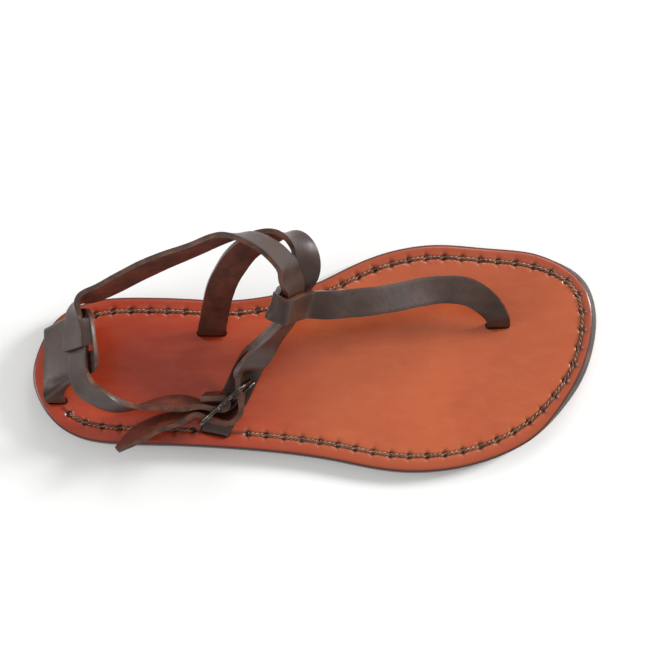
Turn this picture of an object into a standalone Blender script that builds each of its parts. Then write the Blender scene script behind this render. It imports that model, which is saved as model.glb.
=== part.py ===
"""Toe post sandal for the right foot: leather sole and insole, four leather straps and a small buckle.

+X points to the toe, +Y to the big toe's side and +Z up. The sandal stands on z = 0.
The tables are in millimetres: x from the back of the heel, y from the heel's centre line, z from the floor.
"""

import math

import bmesh
import bpy
import numpy as np
from mathutils import Matrix, Vector

MM = 0.001
HEEL_BACK_X = -134.0
HEEL_CENTRE_Y = -5.8

GAP = 0.3
INSOLE_THICKNESS = 3.5
STRAP_THICKNESS = 2.4
STRAP_WIDTH = 13.0
BAND_THICKNESS = 1.8

# Height of the ground side and of the insole's upper side along the sole.
SOLE_PROFILE = (
    # x, ground, seat
    (0.0, 0.6, 13.4),
    (6.0, 0.0, 13.1),
    (30.0, 0.0, 12.7),
    (60.0, 0.0, 12.2),
    (64.0, 4.4, 12.1),
    (85.0, 3.6, 11.1),
    (110.0, 1.4, 9.8),
    (135.0, 0.0, 8.9),
    (165.0, 0.0, 8.5),
    (195.0, 0.0, 8.6),
    (215.0, 0.7, 9.3),
    (235.0, 2.9, 11.5),
    (252.0, 6.0, 14.6),
    (268.0, 9.8, 18.4),
)

# Edge of the sole, seen from above, from the back of the heel round the big toe's side and back.
SOLE_EDGE = (
    # x, y
    (0.0, -3.0),
    (1.2, 5.5),
    (4.6, 14.5),
    (10.5, 23.5),
    (20.0, 29.8),
    (33.0, 33.4),
    (50.0, 34.2),
    (70.0, 33.8),
    (93.0, 33.2),
    (113.0, 35.8),
    (134.0, 41.8),
    (147.0, 48.2),
    (161.0, 54.4),
    (176.0, 58.6),
    (191.0, 60.3),
    (213.0, 58.8),
    (236.2, 56.1),
    (251.6, 51.3),
    (262.1, 42.8),
    (266.8, 30.2),
    (267.0, 19.0),
    (265.2, 8.8),
    (260.3, -4.8),
    (252.3, -17.0),
    (241.5, -28.6),
    (226.7, -38.1),
    (209.7, -44.5),
    (192.0, -47.8),
    (176.0, -48.3),
    (161.0, -46.6),
    (144.0, -43.2),
    (125.0, -40.2),
    (88.0, -36.9),
    (57.0, -35.6),
    (37.0, -34.9),
    (24.0, -32.8),
    (13.5, -27.6),
    (6.0, -19.6),
    (1.6, -11.2),
)
SOLE_EDGE_STEPS = 3
# How far the insole stays behind the outsole at the toe, and where along the sole that starts and ends.
TOE_STEP = 3.0
TOE_STEP_SPAN = (232.0, 264.0)
SOLE_STATION = 9.0
WELD = 0.05

# Slots through the insole: middle, length, width and turn in degrees.
SLOTS = (
    # name, x, y, length, width, turn
    ("toe", 220.3, 21.2, 11.4, 3.4, 0.0),
    ("inner_instep", 84.2, 17.3, 13.9, 3.4, 0.0),
    ("outer_instep", 86.4, -29.4, 13.9, 3.8, -10.0),
    ("outer_heel", 11.7, -15.2, 9.4, 3.2, 0.0),
    ("inner_heel", 11.5, 14.8, 9.4, 3.2, 0.0),
)

# Buckle frame: its middle, its long side's direction and the direction across the strap.
BUCKLE_MIDDLE = (92.0, -16.6, 27.4)
BUCKLE_ALONG = (0.737, 0.618, 0.276)
BUCKLE_ACROSS = (-0.150, -0.250, 0.956)
FRAME_HALF_LENGTH = 14.0
FRAME_HALF_HEIGHT = 8.0
FRAME_CORNER = 3.6
FRAME_WIRE = 1.0
CENTRE_BAR_WIRE = 0.85
PRONG_WIRE = 0.7

# Loop of the toe strap: its middle, the way that the bundled straps run, and the way across them.
LOOP_MIDDLE = (122.2, 25.5, 53.0)
BUNDLE_RUN = (-0.220, -0.840, -0.500)
BUNDLE_ACROSS = (0.523, 0.332, -0.788)

# Strap rows: place of the strap's middle, direction of its upper or rear edge, width.
INSTEP_INNER_ROWS = (
    # x, y, z, edge_x, edge_y, edge_z, width
    (84.2, 17.3, 8.5, -1.0, 0.0, 0.0, 13.0),
    (84.2, 17.6, 12.5, -1.0, 0.0, 0.0, 13.0),
    (85.8, 22.9, 20.5, -1.0, 0.05, 0.1, 13.0),
    (88.0, 29.8, 31.0, -0.98, 0.1, 0.2, 13.0),
    (90.9, 36.4, 40.5, -0.85, 0.3, 0.4, 13.0),
    (95.7, 43.2, 49.0, -0.55, 0.55, 0.6, 13.0),
    (102.3, 49.8, 55.5, -0.42, 0.5, 0.74, 13.0),
    (110.1, 54.0, 58.8, -0.18, 0.42, 0.88, 13.0),
    (117.7, 55.7, 60.6, -0.05, 0.0, 1.0, 13.0),
    (125.2, 53.4, 60.8, -0.35, -0.56, 0.75, 13.0),
    (128.9, 48.0, 58.4, -0.75, -0.4, 0.53, 13.0),
    (129.8, 42.6, 55.2, -0.88, -0.15, 0.45, 13.0),
    (128.6, 37.4, 52.2, -0.85, 0.0, 0.53, 13.0),
)
INSTEP_BUNDLE_ROWS = (
    # side, run, up, tilt of the rear edge, width
    (5.4, -5.0, -1.45, -0.25, 12.8),
    (3.0, -0.5, -1.5, -0.05, 12.6),
    (1.6, 3.5, -1.4, 0.0, 12.6),
    (0.6, 7.0, -1.4, 0.0, 12.6),
)
INSTEP_OUTER_ROWS = (
    (116.4, 16.2, 45.6, -0.56, -0.3, 0.77, 12.8),
    (111.9, 11.6, 41.6, -0.62, -0.2, 0.75, 13.0),
    (106.2, 5.0, 32.9, -0.78, 0.18, 0.52, 13.0),
    (102.7, 0.0, 24.2, -0.88, 0.33, 0.16, 13.0),
    (99.6, -5.2, 17.8, -0.91, 0.4, 0.0, 13.0),
    (96.6, -11.2, 14.6, -0.93, 0.36, 0.0, 13.0),
    (92.8, -17.6, 13.8, -0.95, 0.3, 0.0, 13.0),
    (89.8, -23.2, 13.8, -0.965, 0.25, 0.0, 13.0),
    (87.5, -27.5, 13.6, -0.98, 0.2, 0.0, 13.0),
    (86.5, -29.3, 12.0, -0.985, 0.174, 0.0, 13.0),
    (86.4, -29.5, 8.5, -0.985, 0.174, 0.0, 13.0),
)
ANKLE_INNER_ROWS = (
    (26.4, 27.4, 45.7, 0.4, 0.3, 0.86, 12.4),
    (33.8, 31.0, 47.3, 0.08, 0.28, 0.95, 12.9),
    (43.0, 34.9, 50.0, -0.2, 0.25, 0.94, 13.0),
    (54.8, 40.1, 55.0, -0.25, 0.25, 0.93, 13.0),
    (68.8, 45.0, 61.5, -0.2, 0.2, 0.95, 13.0),
    (82.6, 49.2, 67.5, -0.15, 0.12, 0.97, 13.0),
    (95.2, 52.9, 72.5, -0.15, -0.02, 0.98, 13.0),
    (105.0, 51.8, 75.2, -0.3, -0.42, 0.86, 13.0),
    (113.0, 47.8, 75.0, -0.5, -0.36, 0.79, 13.0),
    (118.0, 43.8, 73.2, -0.58, -0.25, 0.78, 13.0),
    (121.0, 40.0, 70.4, -0.54, -0.2, 0.82, 13.0),
    (122.4, 36.2, 66.2, -0.55, -0.25, 0.78, 13.0),
)
ANKLE_BUNDLE_ROWS = (
    (-2.8, -9.4, 1.7, 0.0, 12.8),
    (-1.0, -4.6, 1.45, 0.0, 12.5),
    (-0.3, 0.5, 1.4, 0.0, 12.5),
    (0.0, 6.5, 1.4, 0.0, 12.6),
)
ANKLE_OUTER_ROWS = (
    (118.8, 15.0, 47.8, -0.57, -0.3, 0.77, 12.8),
    (114.2, 10.4, 44.6, -0.64, -0.2, 0.74, 13.0),
    (108.8, 4.2, 40.0, -0.75, 0.05, 0.65, 13.0),
    (103.7, -0.8, 35.8, -0.62, 0.1, 0.76, 13.0),
)
ANKLE_HEEL_ROWS = (
    (73.0, -17.2, 25.0, -0.05, -0.48, 0.87, 13.0),
    (61.3, -17.4, 25.0, 0.0, -0.38, 0.92, 13.0),
    (50.8, -18.9, 25.8, 0.0, -0.05, 1.0, 13.0),
    (40.8, -18.2, 28.4, 0.15, 0.32, 0.93, 13.0),
    (33.2, -14.5, 33.6, 0.5, 0.36, 0.78, 12.8),
    (28.5, -10.2, 39.9, 0.68, 0.24, 0.69, 12.4),
)
TAIL_ROWS = (
    (71.5, -23.6, 23.6, 0.0, -0.45, 0.89, 13.0),
    (63.0, -25.8, 23.0, 0.0, -0.55, 0.83, 13.0),
    (53.0, -30.4, 22.6, 0.1, -0.6, 0.79, 13.0),
    (46.5, -34.6, 22.3, 0.15, -0.6, 0.79, 9.5),
    (41.5, -38.6, 22.0, 0.15, -0.6, 0.79, 2.4),
)
# The same straps in the buckle's own directions: along, outward, lean, width.
FLAP_ROWS = (
    (-6.4, -8.6, 0.0, 12.4),
    (-3.7, -6.5, 0.0, 12.6),
    (-0.8, -4.2, 0.0, 12.8),
)
FOLD_RADIUS = 2.6
FOLD_FIRST = -50.0
FOLD_LAST = 135.0
FOLD_STEPS = 7
ANKLE_REAR_ROWS = (
    (-5.0, -1.4, 0.0, 13.0),
    (-9.5, -6.2, -0.05, 13.0),
)
ANKLE_BUCKLE_ROWS = (
    (14.2, -5.2, 0.05, 12.8),
    (10.8, -1.6, 0.08, 12.8),
    (7.6, 2.6, 0.15, 12.8),
    (3.8, 6.6, 0.25, 13.0),
    (0.0, 7.6, 0.28, 13.0),
    (-3.8, 6.9, 0.25, 13.0),
    (-7.2, 4.4, 0.15, 12.8),
    (-9.9, 0.5, 0.05, 12.8),
    (-12.4, -4.0, 0.0, 12.8),
)
# Eye of the prong round the centre bar, then its pin; the hole and the notch that it needs.
PRONG_EYE = 2.0
PRONG_EYE_STEPS = 12
PRONG_EYE_TURN = 22.5
PRONG_LIFT = (0.05, 0.15)
PRONG_LENGTH = 16.4
HOLE_RADIUS = 1.25
HOLE_SPAN = (4.5, 12.0)
NOTCH_SPAN = (-3.6, 4.6)
NOTCH_HALF_WIDTH = 1.25
NOTCH_HALF_DEPTH = 4.5
TOE_ROWS = (
    (220.3, 21.2, 7.2, 1.0, 0.0, 0.0, 10.4),
    (220.3, 21.4, 10.8, 1.0, 0.0, 0.0, 10.4),
    (220.0, 23.0, 15.5, 0.94, 0.17, 0.3, 10.8),
    (217.2, 26.8, 20.5, 0.74, 0.42, 0.5, 11.6),
    (211.8, 31.2, 25.0, 0.44, 0.78, 0.4, 12.4),
    (204.5, 34.6, 28.4, 0.2, 0.95, 0.2, 13.0),
    (195.5, 35.4, 31.0, 0.05, 0.97, 0.22, 13.0),
    (184.0, 33.9, 34.6, -0.08, 0.98, 0.15, 13.0),
    (172.3, 30.9, 38.4, -0.08, 0.99, 0.08, 13.0),
    (158.4, 28.1, 42.6, 0.0, 1.0, 0.08, 13.0),
    (146.8, 26.6, 45.4, 0.03, 0.99, 0.12, 13.0),
    (138.8, 25.9, 47.0, 0.1, 0.96, 0.25, 13.0),
)
# The loop in the bundle's own directions: across, along the run, up; tilt and skew of its inner
# edge, width.
TOE_LOOP_ROWS = (
    (8.8, 0.2, 5.3, 0.0, 0.0, 13.0),
    (3.4, 0.2, 4.5, 0.05, 0.0, 13.0),
    (-2.0, 0.0, 4.4, 0.05, 0.0, 13.0),
    (-6.6, 0.0, 4.5, 0.05, 0.05, 13.0),
    (-9.2, 0.0, 3.6, 0.05, 0.15, 13.0),
    (-10.1, 0.0, 1.6, 0.1, 0.2, 13.0),
    (-10.1, 0.0, -1.2, 0.2, 0.2, 13.0),
    (-9.2, 0.0, -3.4, 0.25, 0.15, 13.0),
    (-6.0, 0.0, -4.8, 0.12, 0.05, 13.0),
    (0.0, 0.0, -5.6, -0.12, 0.0, 12.6),
    (7.0, 0.2, -5.8, -0.15, 0.0, 11.6),
    (13.0, 0.2, -5.6, -0.15, 0.0, 10.4),
    (17.5, 0.2, -4.4, -0.1, 0.0, 9.0),
)

# Heel band: its lower and upper edge, from the outer heel slot round the back to the inner one.
HEEL_BAND_ROWS = (
    # lower x, y, z, upper x, y, z
    (7.6, -15.2, 9.9, 15.8, -15.2, 9.9),
    (7.6, -15.3, 14.4, 15.8, -15.3, 14.4),
    (7.2, -14.7, 24.0, 16.8, -10.2, 22.5),
    (7.5, -10.0, 25.2, 25.6, -6.4, 35.0),
    (7.8, -4.6, 25.8, 34.6, -3.2, 47.5),
    (8.0, 2.4, 26.2, 34.8, 7.0, 51.5),
    (7.8, 9.6, 26.0, 33.4, 17.0, 51.8),
    (7.6, 14.0, 25.4, 30.4, 24.0, 48.2),
    (7.4, 16.8, 24.2, 21.8, 22.6, 36.6),
    (7.5, 16.8, 19.5, 15.8, 19.0, 22.0),
    (7.5, 14.9, 13.6, 15.6, 14.9, 13.6),
    (7.5, 14.8, 9.9, 15.6, 14.8, 9.9),
)
BAND_BOW = 1.6
BRIDGE_START = 4.85
BRIDGE_END = 6.55
SLIT_WIDTH = 0.22
BAND_STEPS = 3
BAND_LINES = (0.0, 0.15, 0.31, 1.0)
BRIDGE_LOW = 0.465
BRIDGE_HIGH = 0.970
BRIDGE_SHOULDER = 0.05
BRIDGE_STRAP_WIDTH = 12.0
STRAP_LINE = 0.7175
STRAP_LIFT = 2.5
BRIDGE_DIP = 1.1
BRIDGE_SLACK = 0.15
# Where the ankle strap lies on the band, in the band's rows, and its lift off the band's middle.
BAND_STRAP_ROWS = (
    (4.2, 3.2),
    (4.85, 2.5),
    (5.7, 1.4),
    (6.55, 2.9),
)

LEATHER_DARK = (0.045, 0.030, 0.024, 1.0)
LEATHER_COGNAC = (0.50, 0.13, 0.045, 1.0)
LEATHER_EDGE = (0.09, 0.045, 0.03, 1.0)
METAL_GREY = (0.42, 0.40, 0.38, 1.0)


def clear_scene():
    """Remove whatever the scene holds."""
    for thing in list(bpy.data.objects):
        bpy.data.objects.remove(thing, do_unlink=True)


def material(name, colour, roughness, metallic=0.0):
    """Make a plain Principled material."""
    made = bpy.data.materials.new(name)
    made.use_nodes = True
    shader = made.node_tree.nodes["Principled BSDF"]
    shader.inputs["Base Color"].default_value = colour
    shader.inputs["Roughness"].default_value = roughness
    shader.inputs["Metallic"].default_value = metallic
    made.diffuse_color = colour
    return made


def place(point):
    """Turn a table's place in millimetres into the part's frame in metres."""
    return Vector(
        ((point[0] + HEEL_BACK_X) * MM, (point[1] + HEEL_CENTRE_Y) * MM, point[2] * MM)
    )


def knots_of(rows):
    """Space the rows by the distance between their places."""
    places = np.array([row[:3] for row in rows], float)
    gaps = np.linalg.norm(np.diff(places, axis=0), axis=1)
    return np.concatenate(([0.0], np.cumsum(gaps)))


def spline(rows, knots, places):
    """Run a natural cubic curve through rows of numbers at their knots, and read it at places."""
    values = np.array(rows, float)
    knots = np.array(knots, float)
    h = np.diff(knots)
    slope = np.diff(values, axis=0) / h[:, None]
    count = len(values)
    system = np.zeros((count, count))
    right = np.zeros_like(values)
    system[0, 0] = 1.0
    system[-1, -1] = 1.0
    for i in range(1, count - 1):
        system[i, i - 1 : i + 2] = (h[i - 1], 2.0 * (h[i - 1] + h[i]), h[i])
        right[i] = 6.0 * (slope[i] - slope[i - 1])
    bend = np.linalg.solve(system, right)
    places = np.clip(np.array(places, float), knots[0], knots[-1])
    low = np.clip(np.searchsorted(knots, places, side="right") - 1, 0, count - 2)
    b = ((places - knots[low]) / h[low])[:, None]
    a = 1.0 - b
    third = (h[low] ** 2)[:, None] / 6.0
    return (
        a * values[low]
        + b * values[low + 1]
        + ((a**3 - a) * bend[low] + (b**3 - b) * bend[low + 1]) * third
    )


def even_places(rows, knots, spacing, turn=8.0):
    """Give places along the rows' curve about spacing apart, and closer where the strap bends."""
    fine = np.linspace(knots[0], knots[-1], 40 * len(rows))
    run = np.diff(spline(rows, knots, fine)[:, :3], axis=0)
    length = np.linalg.norm(run, axis=1)
    heading = run / length[:, None]
    angle = np.arccos(np.clip((heading[1:] * heading[:-1]).sum(axis=1), -1.0, 1.0))
    cost = length / spacing
    cost[1:] += np.degrees(angle) / (2.0 * turn)
    total = np.concatenate(([0.0], np.cumsum(cost)))
    count = int(math.ceil(total[-1])) + 1
    return np.interp(np.linspace(0.0, total[-1], count), total, fine)


def smoothstep(value, low, high):
    """Rise softly from 0 at low to 1 at high."""
    t = min(max((value - low) / (high - low), 0.0), 1.0)
    return t * t * (3.0 - 2.0 * t)


def along(table, column, x):
    """Read one column of a table at x, with a smooth curve that doesn't overshoot."""
    xs = [row[0] for row in table]
    ys = [row[column] for row in table]
    slopes = [(ys[i + 1] - ys[i]) / (xs[i + 1] - xs[i]) for i in range(len(xs) - 1)]
    tangents = [slopes[0]]
    for before, after in zip(slopes, slopes[1:]):
        tangents.append(0.0 if before * after <= 0 else 2 * before * after / (before + after))
    tangents.append(slopes[-1])
    x = min(max(x, xs[0]), xs[-1])
    i = min(max(np.searchsorted(xs, x) - 1, 0), len(xs) - 2)
    h = xs[i + 1] - xs[i]
    t = (x - xs[i]) / h
    return (
        ys[i] * (1 + 2 * t) * (1 - t) ** 2
        + tangents[i] * h * t * (1 - t) ** 2
        + ys[i + 1] * t * t * (3 - 2 * t)
        + tangents[i + 1] * h * t * t * (t - 1)
    )


def ground(x):
    """Height of the sole's underside."""
    return along(SOLE_PROFILE, 1, x)


def seat(x):
    """Height of the insole's upper side."""
    return along(SOLE_PROFILE, 2, x)


def add_object(name, mesh, group, surface):
    """Link a mesh as a named object with its material."""
    thing = bpy.data.objects.new(name, mesh)
    group.objects.link(thing)
    mesh.materials.append(surface)
    return thing


def sole_outline(toe_step):
    """The sole's edge as a smooth closed line, drawn in by toe_step at the toe."""
    rows = list(SOLE_EDGE)
    wrapped = rows[-3:] + rows + rows[:4]
    knots = knots_of(wrapped)
    ends = knots[3 : 4 + len(rows)]
    count = len(rows) * SOLE_EDGE_STEPS
    places = np.interp(np.arange(count) / SOLE_EDGE_STEPS, np.arange(len(ends)), ends)
    line = spline(wrapped, knots, places)
    run = np.roll(line, -1, axis=0) - np.roll(line, 1, axis=0)
    run /= np.linalg.norm(run, axis=1)[:, None]
    step = np.array([toe_step * smoothstep(x, *TOE_STEP_SPAN) for x in line[:, 0]])
    return line + np.stack([run[:, 1], -run[:, 0]], axis=1) * step[:, None]


def sole_slab(name, toe_step, top, bottom, group, surface):
    """Make a slab of the sole's outline whose top and bottom follow functions of x."""
    outline = sole_outline(toe_step)
    mesh = bpy.data.meshes.new(name)
    shape = bmesh.new()
    corners = [shape.verts.new((x, y, 0.0)) for x, y in outline]
    shape.faces.new(corners)
    length = max(point[0] for point in outline)
    for i in range(1, int(length / SOLE_STATION) + 1):
        bmesh.ops.bisect_plane(
            shape,
            geom=shape.verts[:] + shape.edges[:] + shape.faces[:],
            dist=WELD,
            plane_co=(i * SOLE_STATION, 0.0, 0.0),
            plane_no=(1.0, 0.0, 0.0),
        )
    upper = shape.faces[:]
    copy = bmesh.ops.extrude_face_region(shape, geom=upper)
    lower = {part for part in copy["geom"] if isinstance(part, bmesh.types.BMVert)}
    for corner in shape.verts:
        height = bottom if corner in lower else top
        corner.co.z = height(corner.co.x)
    for corner in shape.verts:
        corner.co = place(corner.co)
    bmesh.ops.triangulate(shape, faces=shape.faces[:])
    bmesh.ops.recalc_face_normals(shape, faces=shape.faces[:])
    shape.to_mesh(mesh)
    shape.free()
    return add_object(name, mesh, group, surface)


def make_soles(group, cutters, surfaces):
    """Make the outsole and the insole with its slots."""
    sole_slab(
        "outsole",
        0.0,
        lambda x: seat(x) - INSOLE_THICKNESS - GAP,
        ground,
        group,
        surfaces["edge"],
    )
    insole = sole_slab(
        "insole",
        TOE_STEP,
        seat,
        lambda x: seat(x) - INSOLE_THICKNESS,
        group,
        surfaces["cognac"],
    )
    for name, x, y, length, width, turn in SLOTS:
        bpy.ops.mesh.primitive_cube_add(size=1.0)
        cutter = bpy.context.object
        cutter.name = "slot_cutter_" + name
        cutter.location = place((x, y, seat(x)))
        cutter.scale = (length * MM, width * MM, 4 * INSOLE_THICKNESS * MM)
        cutter.rotation_euler = (0.0, 0.0, math.radians(turn))
        cutter.hide_render = True
        cutter.display_type = "WIRE"
        for holder in list(cutter.users_collection):
            holder.objects.unlink(cutter)
        cutters.objects.link(cutter)
        cut = insole.modifiers.new("slot_" + name, "BOOLEAN")
        cut.operation = "DIFFERENCE"
        cut.object = cutter


def ribbon(name, rows, group, surface, spacing=3.4, thickness=STRAP_THICKNESS):
    """Make a strap from rows of place, edge direction and width."""
    knots = knots_of(rows)
    points = spline(rows, knots, even_places(rows, knots, spacing))
    mesh = bpy.data.meshes.new(name)
    shape = bmesh.new()
    lines = []
    for i, row in enumerate(points):
        before = points[max(i - 1, 0)][:3]
        after = points[min(i + 1, len(points) - 1)][:3]
        run = Vector(after - before).normalized()
        edge = Vector(row[3:6])
        edge -= run * edge.dot(run)
        edge.normalize()
        middle = Vector(row[:3])
        half = 0.5 * row[6]
        line = [shape.verts.new(place(middle + edge * half * side)) for side in (-1.0, 0.0, 1.0)]
        lines.append(line)
    for first, second in zip(lines, lines[1:]):
        for a, b, c, d in zip(first, first[1:], second[1:], second):
            shape.faces.new((a, b, c, d))
    shape.to_mesh(mesh)
    shape.free()
    mesh.shade_smooth()
    strap = add_object(name, mesh, group, surface)
    solid = strap.modifiers.new("thickness", "SOLIDIFY")
    solid.thickness = thickness * MM
    solid.offset = 0.0
    solid.use_even_offset = True
    return strap


def buckle_axes():
    """The buckle's directions: along its length, across the strap, and outward."""
    first = Vector(BUCKLE_ALONG).normalized()
    second = Vector(BUCKLE_ACROSS)
    second = (second - first * second.dot(first)).normalized()
    return first, second, first.cross(second)


def buckle_row(row):
    """Turn a row in the buckle's own directions into a strap row."""
    forward, out, lean, width = row
    first, second, third = buckle_axes()
    middle = Vector(BUCKLE_MIDDLE) + first * forward + third * out
    edge = second * math.sqrt(1.0 - lean * lean) + third * lean
    return (*middle, *edge, width)


def loop_row(row):
    """Turn a row in the bundle's own directions into a strap row of the toe strap."""
    side, run, up, tilt, skew, width = row
    across, heading, normal = loop_axes()
    middle = Vector(LOOP_MIDDLE) + across * side + heading * run + normal * up
    edge = (normal * tilt - across * skew - heading).normalized()
    return (*middle, *edge, width)


def loop_axes():
    """The bundle's directions: across it to the front, the way it runs, and up."""
    heading = Vector(BUNDLE_RUN).normalized()
    across = Vector(BUNDLE_ACROSS)
    across = (across - heading * across.dot(heading)).normalized()
    return across, heading, heading.cross(across)


def bundle_row(row):
    """Turn a row of a strap that passes through the loop into a strap row."""
    side, run, up, tilt, width = row
    across, heading, normal = loop_axes()
    middle = Vector(LOOP_MIDDLE) + across * side + heading * run + normal * up
    edge = (normal * tilt - across).normalized()
    return (*middle, *edge, width)


def band_point(u, v):
    """A place on the heel band's middle surface; u counts its rows and v runs from low to high edge."""
    knots = knots_of([(*row, 0.0) for row in np.array(HEEL_BAND_ROWS).reshape(-1, 2, 3).mean(axis=1)])
    row = spline(HEEL_BAND_ROWS, knots, [np.interp(u, range(len(knots)), knots)])[0]
    return Vector(row[:3] + (row[3:] - row[:3]) * v)


def band_frame(u, v):
    """Place, direction across and outward normal of the heel band's bowed middle surface."""
    across = (band_point(u, 1.0) - band_point(u, 0.0)).normalized()
    run = band_point(u + 0.05, v) - band_point(u - 0.05, v)
    outward = across.cross(run).normalized()
    bow = BAND_BOW * smoothstep(u, 2.0, 3.6) * (1.0 - smoothstep(u, 6.8, 8.4))
    slope = 4.0 * bow * (2.0 * v - 1.0) / (band_point(u, 1.0) - band_point(u, 0.0)).length
    tilted = (across + outward * slope).normalized()
    point = band_point(u, v) - outward * (4.0 * bow * v * (1.0 - v))
    return point, tilted, tilted.cross(run).normalized()


def band_strap_rows():
    """Rows of the ankle strap where it lies on the heel band and under its bridge."""
    rows = []
    for u, lift in BAND_STRAP_ROWS:
        point, across, outward = band_frame(u, STRAP_LINE)
        rows.append((*(point + outward * lift), *across, BRIDGE_STRAP_WIDTH))
    return rows


def bridge_lift(u, v):
    """How far the bridge stands out over the strap."""
    if not BRIDGE_START + SLIT_WIDTH - 0.01 < u < BRIDGE_END - SLIT_WIDTH + 0.01:
        return 0.0
    rise = smoothstep(v, BRIDGE_LOW, BRIDGE_LOW + BRIDGE_SHOULDER)
    fall = 1.0 - smoothstep(v, BRIDGE_HIGH - BRIDGE_SHOULDER, BRIDGE_HIGH)
    middle = 0.5 * (BRIDGE_START + BRIDGE_END)
    dip = 1.0 - abs(u - middle) / (middle - BRIDGE_START)
    return (2.0 * STRAP_LIFT + BRIDGE_SLACK - BRIDGE_DIP * dip) * rise * fall


def make_heel_band(group, surface):
    """Make the heel band: a ruled sheet with two slits and the raised bridge between them."""
    last = len(HEEL_BAND_ROWS) - 1.0
    slits = [BRIDGE_START, BRIDGE_START + SLIT_WIDTH, BRIDGE_END - SLIT_WIDTH, BRIDGE_END]
    regular = [k / BAND_STEPS for k in range(int(last * BAND_STEPS) + 1)]
    us = sorted(slits + [u for u in regular if min(abs(u - s) for s in slits) > 0.12])
    shoulders = [BRIDGE_LOW, BRIDGE_LOW + BRIDGE_SHOULDER, BRIDGE_HIGH - BRIDGE_SHOULDER, BRIDGE_HIGH]
    vs = sorted([*BAND_LINES, STRAP_LINE] + shoulders)
    mesh = bpy.data.meshes.new("heel_band")
    shape = bmesh.new()
    grid = {}
    for i, u in enumerate(us):
        for j, v in enumerate(vs):
            point, across, outward = band_frame(u, v)
            grid[i, j] = shape.verts.new(place(point + outward * bridge_lift(u, v)))
    for i in range(len(us) - 1):
        for j in range(len(vs) - 1):
            u = 0.5 * (us[i] + us[i + 1])
            v = 0.5 * (vs[j] + vs[j + 1])
            in_slit = slits[0] < u < slits[1] or slits[2] < u < slits[3]
            if in_slit and BRIDGE_LOW < v < BRIDGE_HIGH:
                continue
            shape.faces.new((grid[i, j], grid[i + 1, j], grid[i + 1, j + 1], grid[i, j + 1]))
    shape.to_mesh(mesh)
    shape.free()
    mesh.shade_smooth()
    band = add_object("heel_band", mesh, group, surface)
    solid = band.modifiers.new("thickness", "SOLIDIFY")
    solid.thickness = BAND_THICKNESS * MM
    solid.offset = 0.0
    solid.use_even_offset = True


def fold_rows():
    """Rows of the ankle strap's fold round the buckle's centre bar, from the flap outward."""
    rows = []
    for k in range(FOLD_STEPS):
        angle = math.radians(FOLD_FIRST + (FOLD_LAST - FOLD_FIRST) * k / (FOLD_STEPS - 1))
        forward = FOLD_RADIUS * math.cos(angle)
        out = FOLD_RADIUS * math.sin(angle)
        rows.append((forward, out, 0.0, STRAP_WIDTH))
    return rows


def make_straps(group, cutters, surface):
    """Make the instep strap, the ankle strap and the toe strap."""
    instep = list(INSTEP_INNER_ROWS)
    instep.extend(bundle_row(row) for row in INSTEP_BUNDLE_ROWS)
    instep.extend(INSTEP_OUTER_ROWS)
    ribbon("instep_strap", instep, group, surface)

    ankle = [buckle_row(row) for row in list(FLAP_ROWS) + fold_rows() + list(ANKLE_REAR_ROWS)]
    ankle.extend(ANKLE_HEEL_ROWS)
    ankle.extend(band_strap_rows())
    ankle.extend(ANKLE_INNER_ROWS)
    ankle.extend(bundle_row(row) for row in ANKLE_BUNDLE_ROWS)
    ankle.extend(ANKLE_OUTER_ROWS)
    ankle.extend(buckle_row(row) for row in ANKLE_BUCKLE_ROWS)
    ankle.extend(TAIL_ROWS)
    strap = ribbon("ankle_strap", ankle, group, surface)
    hole_ends = [frame_place(forward, 0.0, PRONG_EYE) for forward in HOLE_SPAN]
    hole = wire("prong_hole", hole_ends, HOLE_RADIUS, False, cutters, surface)
    notch = box_along_buckle("prong_notch", cutters)
    for cutter in (curve_to_mesh(hole, cutters), notch):
        cutter.hide_render = True
        cutter.display_type = "WIRE"
        cut = strap.modifiers.new(cutter.name, "BOOLEAN")
        cut.operation = "DIFFERENCE"
        cut.object = cutter

    toe = list(TOE_ROWS) + [loop_row(row) for row in TOE_LOOP_ROWS]
    ribbon("toe_strap", toe, group, surface)


def box_along_buckle(name, group):
    """Make the box that cuts the notch for the prong's eye, set square to the buckle."""
    mesh = bpy.data.meshes.new(name)
    shape = bmesh.new()
    corners = {}
    for i, forward in enumerate(NOTCH_SPAN):
        for j, across in enumerate((-NOTCH_HALF_WIDTH, NOTCH_HALF_WIDTH)):
            for k, out in enumerate((-NOTCH_HALF_DEPTH, NOTCH_HALF_DEPTH)):
                corners[i, j, k] = shape.verts.new(frame_place(forward, across, out))
    bmesh.ops.convex_hull(shape, input=shape.verts[:])
    bmesh.ops.recalc_face_normals(shape, faces=shape.faces[:])
    shape.to_mesh(mesh)
    shape.free()
    box = bpy.data.objects.new(name, mesh)
    group.objects.link(box)
    return box


def frame_place(forward, across, out=0.0):
    """A place in the buckle's own directions, in the part's frame."""
    first, second, third = buckle_axes()
    return place(Vector(BUCKLE_MIDDLE) + first * forward + second * across + third * out)


def wire(name, points, radius, cyclic, group, surface):
    """Make a bent metal wire through the points."""
    data = bpy.data.curves.new(name, "CURVE")
    data.dimensions = "3D"
    data.bevel_depth = radius * MM
    data.bevel_resolution = 2
    data.use_fill_caps = True
    line = data.splines.new("POLY")
    line.points.add(len(points) - 1)
    for spot, point in zip(line.points, points):
        spot.co = (*point, 1.0)
    line.use_cyclic_u = cyclic
    thing = bpy.data.objects.new(name, data)
    group.objects.link(thing)
    data.materials.append(surface)
    return thing


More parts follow.
